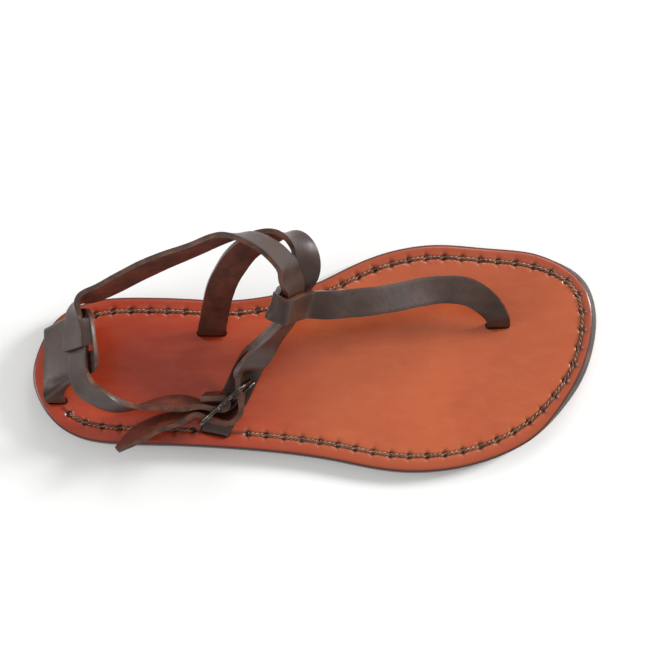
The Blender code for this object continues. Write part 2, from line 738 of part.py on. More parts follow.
def curve_to_mesh(thing, group):
    """Turn a curve object into a welded mesh object of the same name."""
    graph = bpy.context.evaluated_depsgraph_get()
    mesh = bpy.data.meshes.new_from_object(thing.evaluated_get(graph))
    shape = bmesh.new()
    shape.from_mesh(mesh)
    bmesh.ops.remove_doubles(shape, verts=shape.verts[:], dist=0.00001)
    bmesh.ops.recalc_face_normals(shape, faces=shape.faces[:])
    shape.to_mesh(mesh)
    shape.free()
    name = thing.name
    placed = thing.matrix_world.copy()
    bpy.data.objects.remove(thing, do_unlink=True)
    made = bpy.data.objects.new(name, mesh)
    made.matrix_world = placed
    group.objects.link(made)
    return made


def make_buckle(group, cutters, surface):
    """Make the frame with its centre bar, and the prong on it."""
    corners = []
    long_in = FRAME_HALF_LENGTH - FRAME_CORNER
    high_in = FRAME_HALF_HEIGHT - FRAME_CORNER
    for quarter, (side, rise) in enumerate(((1, 1), (-1, 1), (-1, -1), (1, -1))):
        for k in range(5):
            angle = math.radians(90.0 * quarter + 22.5 * k)
            corners.append(
                frame_place(
                    side * long_in + FRAME_CORNER * math.cos(angle),
                    rise * high_in + FRAME_CORNER * math.sin(angle),
                )
            )
    ring = wire("buckle_frame", corners, FRAME_WIRE, True, group, surface)
    bar_ends = [frame_place(0.0, -FRAME_HALF_HEIGHT), frame_place(0.0, FRAME_HALF_HEIGHT)]
    bar = wire("centre_bar", bar_ends, CENTRE_BAR_WIRE, False, cutters, surface)
    bpy.context.view_layer.update()
    ring = curve_to_mesh(ring, group)
    bar = curve_to_mesh(bar, cutters)
    bar.hide_render = True
    bar.display_type = "WIRE"
    join = ring.modifiers.new("centre_bar", "BOOLEAN")
    join.operation = "UNION"
    join.object = bar

    eye = []
    for k in range(PRONG_EYE_STEPS, -1, -1):
        angle = math.radians(90.0 + PRONG_EYE_TURN * k)
        eye.append(frame_place(PRONG_EYE * math.cos(angle), 0.0, PRONG_EYE * math.sin(angle)))
    eye.append(frame_place(0.5 * PRONG_LENGTH, 0.0, PRONG_EYE + PRONG_LIFT[0]))
    eye.append(frame_place(PRONG_LENGTH, 0.0, PRONG_EYE + PRONG_LIFT[1]))
    curve_to_mesh(wire("buckle_prong", eye, PRONG_WIRE, False, group, surface), group)


def main():
    """Build the whole sandal."""
    clear_scene()
    group = bpy.data.collections.new("toe_post_sandal")
    cutters = bpy.data.collections.new("cutters")
    bpy.context.scene.collection.children.link(group)
    bpy.context.scene.collection.children.link(cutters)
    surfaces = {
        "dark": material("strap_leather", LEATHER_DARK, 0.4),
        "cognac": material("insole_leather", LEATHER_COGNAC, 0.38),
        "edge": material("sole_leather", LEATHER_EDGE, 0.5),
        "metal": material("buckle_metal", METAL_GREY, 0.3, 1.0),
    }
    make_soles(group, cutters, surfaces)
    make_heel_band(group, surfaces["dark"])
    make_straps(group, cutters, surfaces["dark"])
    make_buckle(group, cutters, surfaces["metal"])


main()
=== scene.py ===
"""Toe post sandal of stitched leather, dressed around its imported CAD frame.

Everything is in metres in the frame of the CAD part: +X from heel to toe, +Y to the big toe's side, +Z up.
The tables are in millimetres: x from the back of the heel, y from the heel's centre line, z from the floor.
"""

import logging
import math
from dataclasses import dataclass, field
from enum import Enum
from typing import Callable, Sequence

import bmesh
import bpy
import numpy as np
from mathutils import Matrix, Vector
from mathutils.geometry import delaunay_2d_cdt
from mathutils.kdtree import KDTree


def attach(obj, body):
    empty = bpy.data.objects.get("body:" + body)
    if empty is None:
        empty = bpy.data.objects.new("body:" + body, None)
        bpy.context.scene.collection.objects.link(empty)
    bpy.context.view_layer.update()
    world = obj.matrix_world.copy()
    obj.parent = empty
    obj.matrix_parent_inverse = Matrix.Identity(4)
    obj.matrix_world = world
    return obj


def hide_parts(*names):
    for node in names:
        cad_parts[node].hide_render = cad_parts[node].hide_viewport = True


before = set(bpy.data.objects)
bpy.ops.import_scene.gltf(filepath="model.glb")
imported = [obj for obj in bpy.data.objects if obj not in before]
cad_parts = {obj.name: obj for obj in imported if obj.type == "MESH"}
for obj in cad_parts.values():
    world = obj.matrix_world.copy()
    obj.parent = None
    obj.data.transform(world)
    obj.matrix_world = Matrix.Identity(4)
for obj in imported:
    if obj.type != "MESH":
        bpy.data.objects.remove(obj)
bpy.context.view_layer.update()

BODY = "root"
MM = 0.001
HEEL_BACK_X = -134.0
HEEL_CENTRE_Y = -5.8
# How far the outsole reaches beyond the insole at the toe, in millimetres.
TOE_STEP = 3.0

LOG = logging.getLogger("sandal")

# Height of the ground side and of the insole's upper side along the sole.
SOLE_PROFILE = (
    # x, ground, seat
    (0.0, 0.6, 13.4),
    (6.0, 0.0, 13.1),
    (30.0, 0.0, 12.7),
    (60.0, 0.0, 12.2),
    (64.0, 4.4, 12.1),
    (85.0, 3.6, 11.1),
    (110.0, 1.4, 9.8),
    (135.0, 0.0, 8.9),
    (165.0, 0.0, 8.5),
    (195.0, 0.0, 8.6),
    (215.0, 0.7, 9.3),
    (235.0, 2.9, 11.5),
    (252.0, 6.0, 14.6),
    (268.0, 9.8, 18.4),
)

# Edge of the sole, seen from above, from the back of the heel round the big toe's side and back.
SOLE_EDGE = (
    # x, y
    (0.0, -3.0),
    (1.2, 5.5),
    (4.6, 14.5),
    (10.5, 23.5),
    (20.0, 29.8),
    (33.0, 33.4),
    (50.0, 34.2),
    (70.0, 33.8),
    (93.0, 33.2),
    (113.0, 35.8),
    (134.0, 41.8),
    (147.0, 48.2),
    (161.0, 54.4),
    (176.0, 58.6),
    (191.0, 60.3),
    (213.0, 58.8),
    (236.2, 56.1),
    (251.6, 51.3),
    (262.1, 42.8),
    (266.8, 30.2),
    (267.0, 19.0),
    (265.2, 8.8),
    (260.3, -4.8),
    (252.3, -17.0),
    (241.5, -28.6),
    (226.7, -38.1),
    (209.7, -44.5),
    (192.0, -47.8),
    (176.0, -48.3),
    (161.0, -46.6),
    (144.0, -43.2),
    (125.0, -40.2),
    (88.0, -36.9),
    (57.0, -35.6),
    (37.0, -34.9),
    (24.0, -32.8),
    (13.5, -27.6),
    (6.0, -19.6),
    (1.6, -11.2),
)

# Slots through the insole: middle, length, width and turn in degrees.
SLOTS = (
    # x, y, length, width, turn
    (220.3, 21.2, 11.4, 3.4, 0.0),
    (84.2, 17.3, 13.9, 3.4, 0.0),
    (86.4, -29.4, 13.9, 3.8, -10.0),
    (11.7, -15.2, 9.4, 3.2, 0.0),
    (11.5, 14.8, 9.4, 3.2, 0.0),
)

# Buckle frame: its middle, its long side's direction and the direction across the strap.
BUCKLE_MIDDLE = (92.0, -16.6, 27.4)
BUCKLE_ALONG = (0.737, 0.618, 0.276)
BUCKLE_ACROSS = (-0.150, -0.250, 0.956)

# Loop of the toe strap: its middle, the way that the bundled straps run, and the way across them.
LOOP_MIDDLE = (122.2, 25.5, 53.0)
BUNDLE_RUN = (-0.220, -0.840, -0.500)
BUNDLE_ACROSS = (0.523, 0.332, -0.788)

# Strap rows: place of the strap's middle, direction of its upper or rear edge, width.
INSTEP_INNER_ROWS = (
    # x, y, z, edge_x, edge_y, edge_z, width
    (84.2, 17.3, 8.5, -1.0, 0.0, 0.0, 13.0),
    (84.2, 17.6, 12.5, -1.0, 0.0, 0.0, 13.0),
    (85.8, 22.9, 20.5, -1.0, 0.05, 0.1, 13.0),
    (88.0, 29.8, 31.0, -0.98, 0.1, 0.2, 13.0),
    (90.9, 36.4, 40.5, -0.85, 0.3, 0.4, 13.0),
    (95.7, 43.2, 49.0, -0.55, 0.55, 0.6, 13.0),
    (102.3, 49.8, 55.5, -0.42, 0.5, 0.74, 13.0),
    (110.1, 54.0, 58.8, -0.18, 0.42, 0.88, 13.0),
    (117.7, 55.7, 60.6, -0.05, 0.0, 1.0, 13.0),
    (125.2, 53.4, 60.8, -0.35, -0.56, 0.75, 13.0),
    (128.9, 48.0, 58.4, -0.75, -0.4, 0.53, 13.0),
    (129.8, 42.6, 55.2, -0.88, -0.15, 0.45, 13.0),
    (128.6, 37.4, 52.2, -0.85, 0.0, 0.53, 13.0),
)
INSTEP_BUNDLE_ROWS = (
    # side, run, up, tilt of the rear edge, width
    (5.4, -5.0, -1.45, -0.25, 12.8),
    (3.0, -0.5, -1.5, -0.05, 12.6),
    (1.6, 3.5, -1.4, 0.0, 12.6),
    (0.6, 7.0, -1.4, 0.0, 12.6),
)
INSTEP_OUTER_ROWS = (
    (116.4, 16.2, 45.6, -0.56, -0.3, 0.77, 12.8),
    (111.9, 11.6, 41.6, -0.62, -0.2, 0.75, 13.0),
    (106.2, 5.0, 32.9, -0.78, 0.18, 0.52, 13.0),
    (102.7, 0.0, 24.2, -0.88, 0.33, 0.16, 13.0),
    (99.6, -5.2, 17.8, -0.91, 0.4, 0.0, 13.0),
    (96.6, -11.2, 14.6, -0.93, 0.36, 0.0, 13.0),
    (92.8, -17.6, 13.8, -0.95, 0.3, 0.0, 13.0),
    (89.8, -23.2, 13.8, -0.965, 0.25, 0.0, 13.0),
    (87.5, -27.5, 13.6, -0.98, 0.2, 0.0, 13.0),
    (86.5, -29.3, 12.0, -0.985, 0.174, 0.0, 13.0),
    (86.4, -29.5, 8.5, -0.985, 0.174, 0.0, 13.0),
)
ANKLE_INNER_ROWS = (
    (26.4, 27.4, 45.7, 0.4, 0.3, 0.86, 12.4),
    (33.8, 31.0, 47.3, 0.08, 0.28, 0.95, 12.9),
    (43.0, 34.9, 50.0, -0.2, 0.25, 0.94, 13.0),
    (54.8, 40.1, 55.0, -0.25, 0.25, 0.93, 13.0),
    (68.8, 45.0, 61.5, -0.2, 0.2, 0.95, 13.0),
    (82.6, 49.2, 67.5, -0.15, 0.12, 0.97, 13.0),
    (95.2, 52.9, 72.5, -0.15, -0.02, 0.98, 13.0),
    (105.0, 51.8, 75.2, -0.3, -0.42, 0.86, 13.0),
    (113.0, 47.8, 75.0, -0.5, -0.36, 0.79, 13.0),
    (118.0, 43.8, 73.2, -0.58, -0.25, 0.78, 13.0),
    (121.0, 40.0, 70.4, -0.54, -0.2, 0.82, 13.0),
    (122.4, 36.2, 66.2, -0.55, -0.25, 0.78, 13.0),
)
ANKLE_BUNDLE_ROWS = (
    (-2.8, -9.4, 1.7, 0.0, 12.8),
    (-1.0, -4.6, 1.45, 0.0, 12.5),
    (-0.3, 0.5, 1.4, 0.0, 12.5),
    (0.0, 6.5, 1.4, 0.0, 12.6),
)
ANKLE_OUTER_ROWS = (
    (118.8, 15.0, 47.8, -0.57, -0.3, 0.77, 12.8),
    (114.2, 10.4, 44.6, -0.64, -0.2, 0.74, 13.0),
    (108.8, 4.2, 40.0, -0.75, 0.05, 0.65, 13.0),
    (103.7, -0.8, 35.8, -0.62, 0.1, 0.76, 13.0),
)
ANKLE_HEEL_ROWS = (
    (73.0, -17.2, 25.0, -0.05, -0.48, 0.87, 13.0),
    (61.3, -17.4, 25.0, 0.0, -0.38, 0.92, 13.0),
    (50.8, -18.9, 25.8, 0.0, -0.05, 1.0, 13.0),
    (40.8, -18.2, 28.4, 0.15, 0.32, 0.93, 13.0),
    (33.2, -14.5, 33.6, 0.5, 0.36, 0.78, 12.8),
    (28.5, -10.2, 39.9, 0.68, 0.24, 0.69, 12.4),
)
TAIL_ROWS = (
    (71.5, -23.6, 23.6, 0.0, -0.45, 0.89, 13.0),
    (63.0, -25.8, 23.0, 0.0, -0.55, 0.83, 13.0),
    (53.0, -30.4, 22.6, 0.1, -0.6, 0.79, 13.0),
    (46.5, -34.6, 22.3, 0.15, -0.6, 0.79, 9.5),
    (41.5, -38.6, 22.0, 0.15, -0.6, 0.79, 2.4),
)
# The same strap in the buckle's own directions: along, outward, lean, width.
FLAP_ROWS = (
    (-6.4, -8.6, 0.0, 12.4),
    (-3.7, -6.5, 0.0, 12.6),
    (-0.8, -4.2, 0.0, 12.8),
)
ANKLE_REAR_ROWS = (
    (-5.0, -1.4, 0.0, 13.0),
    (-9.5, -6.2, -0.05, 13.0),
)
ANKLE_BUCKLE_ROWS = (
    (14.2, -5.2, 0.05, 12.8),
    (10.8, -1.6, 0.08, 12.8),
    (7.6, 2.6, 0.15, 12.8),
    (3.8, 6.6, 0.25, 13.0),
    (0.0, 7.6, 0.28, 13.0),
    (-3.8, 6.9, 0.25, 13.0),
    (-7.2, 4.4, 0.15, 12.8),
    (-9.9, 0.5, 0.05, 12.8),
    (-12.4, -4.0, 0.0, 12.8),
)
TOE_ROWS = (
    (220.3, 21.2, 7.2, 1.0, 0.0, 0.0, 10.4),
    (220.3, 21.4, 10.8, 1.0, 0.0, 0.0, 10.4),
    (220.0, 23.0, 15.5, 0.94, 0.17, 0.3, 10.8),
    (217.2, 26.8, 20.5, 0.74, 0.42, 0.5, 11.6),
    (211.8, 31.2, 25.0, 0.44, 0.78, 0.4, 12.4),
    (204.5, 34.6, 28.4, 0.2, 0.95, 0.2, 13.0),
    (195.5, 35.4, 31.0, 0.05, 0.97, 0.22, 13.0),
    (184.0, 33.9, 34.6, -0.08, 0.98, 0.15, 13.0),
    (172.3, 30.9, 38.4, -0.08, 0.99, 0.08, 13.0),
    (158.4, 28.1, 42.6, 0.0, 1.0, 0.08, 13.0),
    (146.8, 26.6, 45.4, 0.03, 0.99, 0.12, 13.0),
    (138.8, 25.9, 47.0, 0.1, 0.96, 0.25, 13.0),
)
# The loop in the bundle's own directions: across, along the run, up; tilt and skew of its inner
# edge, width.
TOE_LOOP_ROWS = (
    (8.8, 0.2, 5.3, 0.0, 0.0, 13.0),
    (3.4, 0.2, 4.5, 0.05, 0.0, 13.0),
    (-2.0, 0.0, 4.4, 0.05, 0.0, 13.0),
    (-6.6, 0.0, 4.5, 0.05, 0.05, 13.0),
    (-9.2, 0.0, 3.6, 0.05, 0.15, 13.0),
    (-10.1, 0.0, 1.6, 0.1, 0.2, 13.0),
    (-10.1, 0.0, -1.2, 0.2, 0.2, 13.0),
    (-9.2, 0.0, -3.4, 0.25, 0.15, 13.0),
    (-6.0, 0.0, -4.8, 0.12, 0.05, 13.0),
    (0.0, 0.0, -5.6, -0.12, 0.0, 12.6),
    (7.0, 0.2, -5.8, -0.15, 0.0, 11.6),
    (13.0, 0.2, -5.6, -0.15, 0.0, 10.4),
    (17.5, 0.2, -4.4, -0.1, 0.0, 9.0),
)
# Heel band: its lower and upper edge, from the outer heel slot round the back to the inner one.
HEEL_BAND_ROWS = (
    # lower x, y, z, upper x, y, z
    (7.6, -15.2, 9.9, 15.8, -15.2, 9.9),
    (7.6, -15.3, 14.4, 15.8, -15.3, 14.4),
    (7.2, -14.7, 24.0, 16.8, -10.2, 22.5),
    (7.5, -10.0, 25.2, 25.6, -6.4, 35.0),
    (7.8, -4.6, 25.8, 34.6, -3.2, 47.5),
    (8.0, 2.4, 26.2, 34.8, 7.0, 51.5),
    (7.8, 9.6, 26.0, 33.4, 17.0, 51.8),
    (7.6, 14.0, 25.4, 30.4, 24.0, 48.2),
    (7.4, 16.8, 24.2, 21.8, 22.6, 36.6),
    (7.5, 16.8, 19.5, 15.8, 19.0, 22.0),
    (7.5, 14.9, 13.6, 15.6, 14.9, 13.6),
    (7.5, 14.8, 9.9, 15.6, 14.8, 9.9),
)
# Where the ankle strap lies on the band, in the band's rows, and its lift off the band's middle.
BAND_STRAP_ROWS = (
    (4.2, 3.2),
    (4.85, 2.5),
    (5.7, 1.4),
    (6.55, 2.9),
)

Rows = Sequence[Sequence[float]]


def place(point: Sequence[float]) -> Vector:
    """Turn a table's place in millimetres into the frame's metres."""
    return Vector(((point[0] + HEEL_BACK_X) * MM, (point[1] + HEEL_CENTRE_Y) * MM, point[2] * MM))


def knots_of(rows: Rows) -> np.ndarray:
    """Space the rows by the distance between their places."""
    places = np.array([row[:3] for row in rows], float)
    gaps = np.linalg.norm(np.diff(places, axis=0), axis=1)
    return np.concatenate(([0.0], np.cumsum(gaps)))


def spline(rows: Rows, knots: Sequence[float], places: Sequence[float]) -> np.ndarray:
    """Run a natural cubic curve through rows of numbers.

    Args:
        rows: The numbers at each knot.
        knots: Where the rows lie along the curve.
        places: Where the curve is read.

    Returns:
        One row of numbers for each place.
    """
    values = np.array(rows, float)
    knots = np.array(knots, float)
    h = np.diff(knots)
    slope = np.diff(values, axis=0) / h[:, None]
    count = len(values)
    system = np.zeros((count, count))
    right = np.zeros_like(values)
    system[0, 0] = 1.0
    system[-1, -1] = 1.0
    for i in range(1, count - 1):
        system[i, i - 1 : i + 2] = (h[i - 1], 2.0 * (h[i - 1] + h[i]), h[i])
        right[i] = 6.0 * (slope[i] - slope[i - 1])
    bend = np.linalg.solve(system, right)
    places = np.clip(np.array(places, float), knots[0], knots[-1])
    low = np.clip(np.searchsorted(knots, places, side="right") - 1, 0, count - 2)
    b = ((places - knots[low]) / h[low])[:, None]
    a = 1.0 - b
    third = (h[low] ** 2)[:, None] / 6.0
    straight = a * values[low] + b * values[low + 1]
    return straight + ((a**3 - a) * bend[low] + (b**3 - b) * bend[low + 1]) * third


def smoothstep(value: np.ndarray | float, low: float, high: float) -> np.ndarray:
    """Rise softly from 0 at low to 1 at high."""
    t = np.clip((value - low) / (high - low), 0.0, 1.0)
    return t * t * (3.0 - 2.0 * t)


def bell(distance: np.ndarray, width: float) -> np.ndarray:
    """A soft bump of height 1 at distance 0."""
    return np.exp(-((distance / width) ** 2))


def along(column: int, x: np.ndarray) -> np.ndarray:
    """Read a column of the sole's profile with a smooth curve that doesn't overshoot.

    Args:
        column: The column of SOLE_PROFILE.
        x: Places along the sole.

    Returns:
        The heights at x.
    """
    xs = np.array([row[0] for row in SOLE_PROFILE])
    ys = np.array([row[column] for row in SOLE_PROFILE])
    slopes = np.diff(ys) / np.diff(xs)
    product = slopes[:-1] * slopes[1:]
    total = np.where(product > 0, slopes[:-1] + slopes[1:], 1.0)
    inner = np.where(product > 0, 2.0 * product / total, 0.0)
    tangents = np.concatenate((slopes[:1], inner, slopes[-1:]))
    x = np.clip(np.array(x, float), xs[0], xs[-1])
    i = np.clip(np.searchsorted(xs, x) - 1, 0, len(xs) - 2)
    h = xs[i + 1] - xs[i]
    t = (x - xs[i]) / h
    return (
        ys[i] * (1 + 2 * t) * (1 - t) ** 2
        + tangents[i] * h * t * (1 - t) ** 2
        + ys[i + 1] * t * t * (3 - 2 * t)
        + tangents[i + 1] * h * t * t * (t - 1)
    )


def ground(x: np.ndarray) -> np.ndarray:
    """Height of the sole's underside."""
    return along(1, x)


def seat(x: np.ndarray) -> np.ndarray:
    """Height of the insole's upper side."""
    return along(2, x)


def linear(code: str) -> tuple[float, float, float, float]:
    """Turn an sRGB hex colour into linear numbers."""
    parts = [int(code[i : i + 2], 16) / 255.0 for i in (0, 2, 4)]
    return (*((c / 12.92) if c <= 0.04045 else ((c + 0.055) / 1.055) ** 2.4 for c in parts), 1.0)


class Shader:
    """A material's node tree, with one short call to add a node."""

    def __init__(self, name: str) -> None:
        """Start a material that holds one Principled shader."""
        self.material = bpy.data.materials.new(name)
        self.material.use_nodes = True
        self.tree = self.material.node_tree
        self.surface = self.tree.nodes["Principled BSDF"]
        coordinates = self.add("ShaderNodeTexCoord")
        self.spot = coordinates.outputs["Object"]

    def add(self, kind: str, links: dict | None = None, **settings: object) -> bpy.types.Node:
        """Add a node.

        Args:
            kind: The node's type.
            links: Values or outputs for its inputs, by name or number.
            settings: The node's own properties.

        Returns:
            The new node.
        """
        made = self.tree.nodes.new(kind)
        for name, value in settings.items():
            setattr(made, name, value)
        for key, value in (links or {}).items():
            if isinstance(value, bpy.types.NodeSocket):
                self.tree.links.new(value, made.inputs[key])
            else:
                made.inputs[key].default_value = value
        return made

    def noise(self, size: float, detail: float = 4.0, rough: float = 0.55, shift: float = 0.0,
              stretch: tuple[float, float, float] = (1.0, 1.0, 1.0)) -> bpy.types.NodeSocket:
        """Make cloudy noise.

        Args:
            size: Size of its patches in metres.
            detail: How many finer layers it has.
            rough: Weight of the finer layers.
            shift: Moves it, so that two noises differ.
            stretch: How many times finer it is along X, Y and Z.

        Returns:
            The noise as a number about 0.5.
        """
        mapped = self.add(
            "ShaderNodeMapping",
            {"Vector": self.spot, "Location": (shift, shift, shift), "Scale": stretch},
        ).outputs[0]
        return self.add(
            "ShaderNodeTexNoise",
            {"Vector": mapped, "Scale": 1.0 / size, "Detail": detail, "Roughness": rough},
        ).outputs["Fac"]

    def cells(self, size: float) -> bpy.types.NodeSocket:
        """Make rounded cells of a size in metres, as distance from their middles."""
        made = self.add("ShaderNodeTexVoronoi", {"Vector": self.spot, "Scale": 1.0 / size})
        return made.outputs["Distance"]

    def spread(self, value: bpy.types.NodeSocket, low: float, high: float, start: float = 0.0,
               end: float = 1.0) -> bpy.types.NodeSocket:
        """Map a number's range from low and high to start and end, with clamped ends."""
        return self.add(
            "ShaderNodeMapRange",
            {"Value": value, "From Min": low, "From Max": high, "To Min": start, "To Max": end},
        ).outputs["Result"]

    def mix(self, share: bpy.types.NodeSocket | float, first: object,
            second: object) -> bpy.types.NodeSocket:
        """Mix two colours.

        Args:
            share: How much of the second shows.
            first: A hex colour or an output.
            second: A hex colour or an output.

        Returns:
            The mixed colour.
        """
        pair = [linear(c) if isinstance(c, str) else c for c in (first, second)]
        made = self.add("ShaderNodeMix", {0: share, 6: pair[0], 7: pair[1]}, data_type="RGBA")
        return made.outputs[2]

    def maths(self, operation: str, first: object, second: object = 0.0) -> bpy.types.NodeSocket:
        """Work out one number from two."""
        return self.add("ShaderNodeMath", {0: first, 1: second}, operation=operation).outputs[0]

    def painted(self, name: str) -> bpy.types.NodeSocket:
        """Read a number that the mesh carries at its points."""
        return self.add("ShaderNodeAttribute", attribute_name=name).outputs["Fac"]

    def finish(self, colour: bpy.types.NodeSocket, roughness: object,
               height: bpy.types.NodeSocket | None, depth: float,
               coat: float = 0.0, coat_roughness: float = 0.2) -> bpy.types.Material:
        """Link the results to the shader.

        Args:
            colour: The base colour.
            roughness: A number or an output.
            height: The bump's height, if any.
            depth: The bump's depth in metres.
            coat: Strength of the clear layer.
            coat_roughness: Roughness of that layer.

        Returns:
            The finished material.
        """
        self.tree.links.new(colour, self.surface.inputs["Base Color"])
        if isinstance(roughness, bpy.types.NodeSocket):
            self.tree.links.new(roughness, self.surface.inputs["Roughness"])
        else:
            self.surface.inputs["Roughness"].default_value = roughness
        if height is not None:
            bump = self.add("ShaderNodeBump", {"Height": height, "Strength": 1.0, "Distance": depth})
            self.tree.links.new(bump.outputs[0], self.surface.inputs["Normal"])
        self.surface.inputs["Coat Weight"].default_value = coat
        self.surface.inputs["Coat Roughness"].default_value = coat_roughness
        return self.material


@dataclass(frozen=True)
class GlazedInsole:
    """Vegetable-tanned leather, dyed cognac and glazed: warm, mottled and glossy, darker at its edge."""

    middle: str = "b9582f"
    light: str = "c2663c"
    heel: str = "bd3a14"
    deep: str = "8c2c14"
    rim: str = "2e1710"
    cut: str = "4a1f11"
    # Light colour of the painted glints on the puckers beside the stitch holes.
    pucker_glint: str = "e09a6c"
    # Near-black painted shade for the inside of the stitch holes.
    hole: str = "200c07"
    patch: float = 0.038
    fibre: float = 0.0042
    fleck: float = 0.0008
    wrinkle: float = 0.0021
    pore: float = 0.0009
    depth: float = 0.00005
    coat: float = 0.35
    coat_roughness: float = 0.16

    def build(self) -> bpy.types.Material:
        """Build the material."""
        make = Shader("cognac_insole_leather_glazed")
        cloud = make.noise(self.patch, 3.0)
        streak = make.noise(self.fibre, 5.0, 0.6, 3.0, (0.35, 1.0, 1.0))
        pores = make.cells(self.pore)
        wrinkle = make.noise(self.wrinkle, 3.0, 0.6, 7.0)
        # From a deeper red at the heel to a lighter orange at the forefoot: partly the leather's own tone,
        # partly a painted sheen from the lamp's reflection.
        base = make.mix(make.painted("forefoot"), self.heel, self.middle)
        base = make.mix(make.spread(cloud, 0.3, 0.7, 0.35, 0.0), base, self.deep)
        base = make.mix(make.spread(streak, 0.45, 0.8, 0.0, 0.35), base, self.light)
        fleck = make.spread(make.noise(self.fleck, 2.0, 0.5, 11.0), 0.66, 0.76, 0.0, 0.2)
        base = make.mix(fleck, base, self.deep)
        base = make.mix(make.painted("border"), base, self.deep)
        base = make.mix(make.spread(make.painted("groove"), 0.2, 1.0, 0.0, 0.8), base, self.cut)
        # Painted highlight: small glints where the puckers beside each notch catch the light.
        base = make.mix(make.painted("pucker"), base, self.pucker_glint)
        # Painted shade: each stitch hole is darkened to near black.
        base = make.mix(make.painted("pit_shade"), base, self.hole)
        colour = make.mix(make.painted("rim"), base, self.rim)
        gloss = make.spread(streak, 0.3, 0.75, 0.3, 0.4)
        height = make.maths("ADD", make.maths("MULTIPLY", pores, 0.35), wrinkle)
        return make.finish(colour, gloss, height, self.depth, self.coat, self.coat_roughness)


@dataclass(frozen=True)
class BurnishedEdge:
    """Stacked sole leather with a burnished, waxed edge: nearly black brown with worn grey rubs."""

    dark: str = "241610"
    brown: str = "3b261b"
    worn: str = "6b5344"
    layer: float = 0.0007
    rub: float = 0.011
    depth: float = 0.00022
    wax: float = 0.25
    wax_roughness: float = 0.3

    def build(self) -> bpy.types.Material:
        """Build the material."""
        make = Shader("sole_leather_burnished")
        strata = make.noise(self.layer, 4.0, 0.6, 0.0, (0.06, 0.06, 1.0))
        rub = make.noise(self.rub, 5.0, 0.62, 5.0)
        base = make.mix(make.spread(strata, 0.35, 0.7), self.dark, self.brown)
        colour = make.mix(make.spread(rub, 0.46, 0.72, 0.0, 0.75), base, self.worn)
        gloss = make.spread(rub, 0.3, 0.7, 0.3, 0.55)
        return make.finish(colour, gloss, strata, self.depth, self.wax, self.wax_roughness)


@dataclass(frozen=True)
class GroundSide:
    """Bare underside of a leather sole: tan, rough and a little scuffed along the way it walks."""

    tan: str = "9a6a43"
    brown: str = "855633"
    scuffed: str = "5b3c28"
    fibre: float = 0.0016
    scuff: float = 0.012
    depth: float = 0.0003

    def build(self) -> bpy.types.Material:
        """Build the material."""
        make = Shader("sole_leather_bare")
        fibre = make.noise(self.fibre, 5.0, 0.65)
        scuff = make.noise(self.scuff, 5.0, 0.6, 2.0, (0.3, 1.0, 1.0))
        base = make.mix(make.spread(fibre, 0.3, 0.7), self.tan, self.brown)
        colour = make.mix(make.spread(scuff, 0.45, 0.75), base, self.scuffed)
        return make.finish(colour, make.spread(fibre, 0.3, 0.7, 0.5, 0.75), fibre, self.depth)


@dataclass(frozen=True)
class StrapGrain:
    """Grain side of oiled bridle leather, dark brown: fine pores and a satin shine."""

    dark: str = "2d1a12"
    light: str = "42291d"
    pull: str = "5a3a28"
    patch: float = 0.014
    crease: float = 0.0026
    rub: float = 0.0035
    pore: float = 0.0007
    depth: float = 0.00006
    oil: float = 0.12
    oil_roughness: float = 0.3

    def build(self) -> bpy.types.Material:
        """Build the material."""
        make = Shader("strap_leather_grain_oiled")
        cloud = make.noise(self.patch, 4.0)
        pores = make.cells(self.pore)
        crease = make.noise(self.crease, 4.0, 0.6, 4.0)
        base = make.mix(make.spread(cloud, 0.35, 0.7), self.dark, self.light)
        rub = make.spread(make.noise(self.rub, 5.0, 0.65, 9.0), 0.6, 0.78, 0.0, 0.4)
        colour = make.mix(rub, base, self.pull)
        gloss = make.spread(crease, 0.3, 0.7, 0.34, 0.5)
        height = make.maths("ADD", make.maths("MULTIPLY", pores, 0.4), crease)
        return make.finish(colour, gloss, height, self.depth, self.oil, self.oil_roughness)


@dataclass(frozen=True)
class StrapFlesh:
    """Flesh side of the same leather: red-brown, matt and fibrous."""

    dark: str = "42180d"
    light: str = "76331d"
    nap: str = "7d4730"
    fibre: float = 0.0011
    patch: float = 0.009
    depth: float = 0.00028

    def build(self) -> bpy.types.Material:
        """Build the material."""
        make = Shader("strap_leather_flesh_side")
        fibre = make.noise(self.fibre, 6.0, 0.7)
        cloud = make.noise(self.patch, 4.0, 0.6, 6.0)
        base = make.mix(make.spread(cloud, 0.35, 0.68), self.dark, self.light)
        colour = make.mix(make.spread(fibre, 0.42, 0.75, 0.0, 0.4), base, self.nap)
        return make.finish(colour, make.spread(fibre, 0.3, 0.7, 0.5, 0.72), fibre, self.depth)


@dataclass(frozen=True)
class CutEdge:
    """Cut edge of the straps, dyed and waxed by hand: brown with light fibres that catch the light."""

    dark: str = "371d14"
    light: str = "633a26"
    bare: str = "9a7355"
    fibre: float = 0.0007
    rub: float = 0.006
    depth: float = 0.00012
    wax: float = 0.15
    wax_roughness: float = 0.25

    def build(self) -> bpy.types.Material:
        """Build the material."""
        make = Shader("strap_leather_cut_edge_waxed")
        fibre = make.noise(self.fibre, 5.0, 0.6)
        worn = make.noise(self.rub, 4.0, 0.6, 3.0)
        base = make.mix(make.spread(worn, 0.4, 0.66), self.dark, self.light)
        colour = make.mix(make.spread(fibre, 0.55, 0.8, 0.0, 0.5), base, self.bare)
        gloss = make.spread(fibre, 0.3, 0.7, 0.36, 0.52)
        return make.finish(colour, gloss, fibre, self.depth, self.wax, self.wax_roughness)


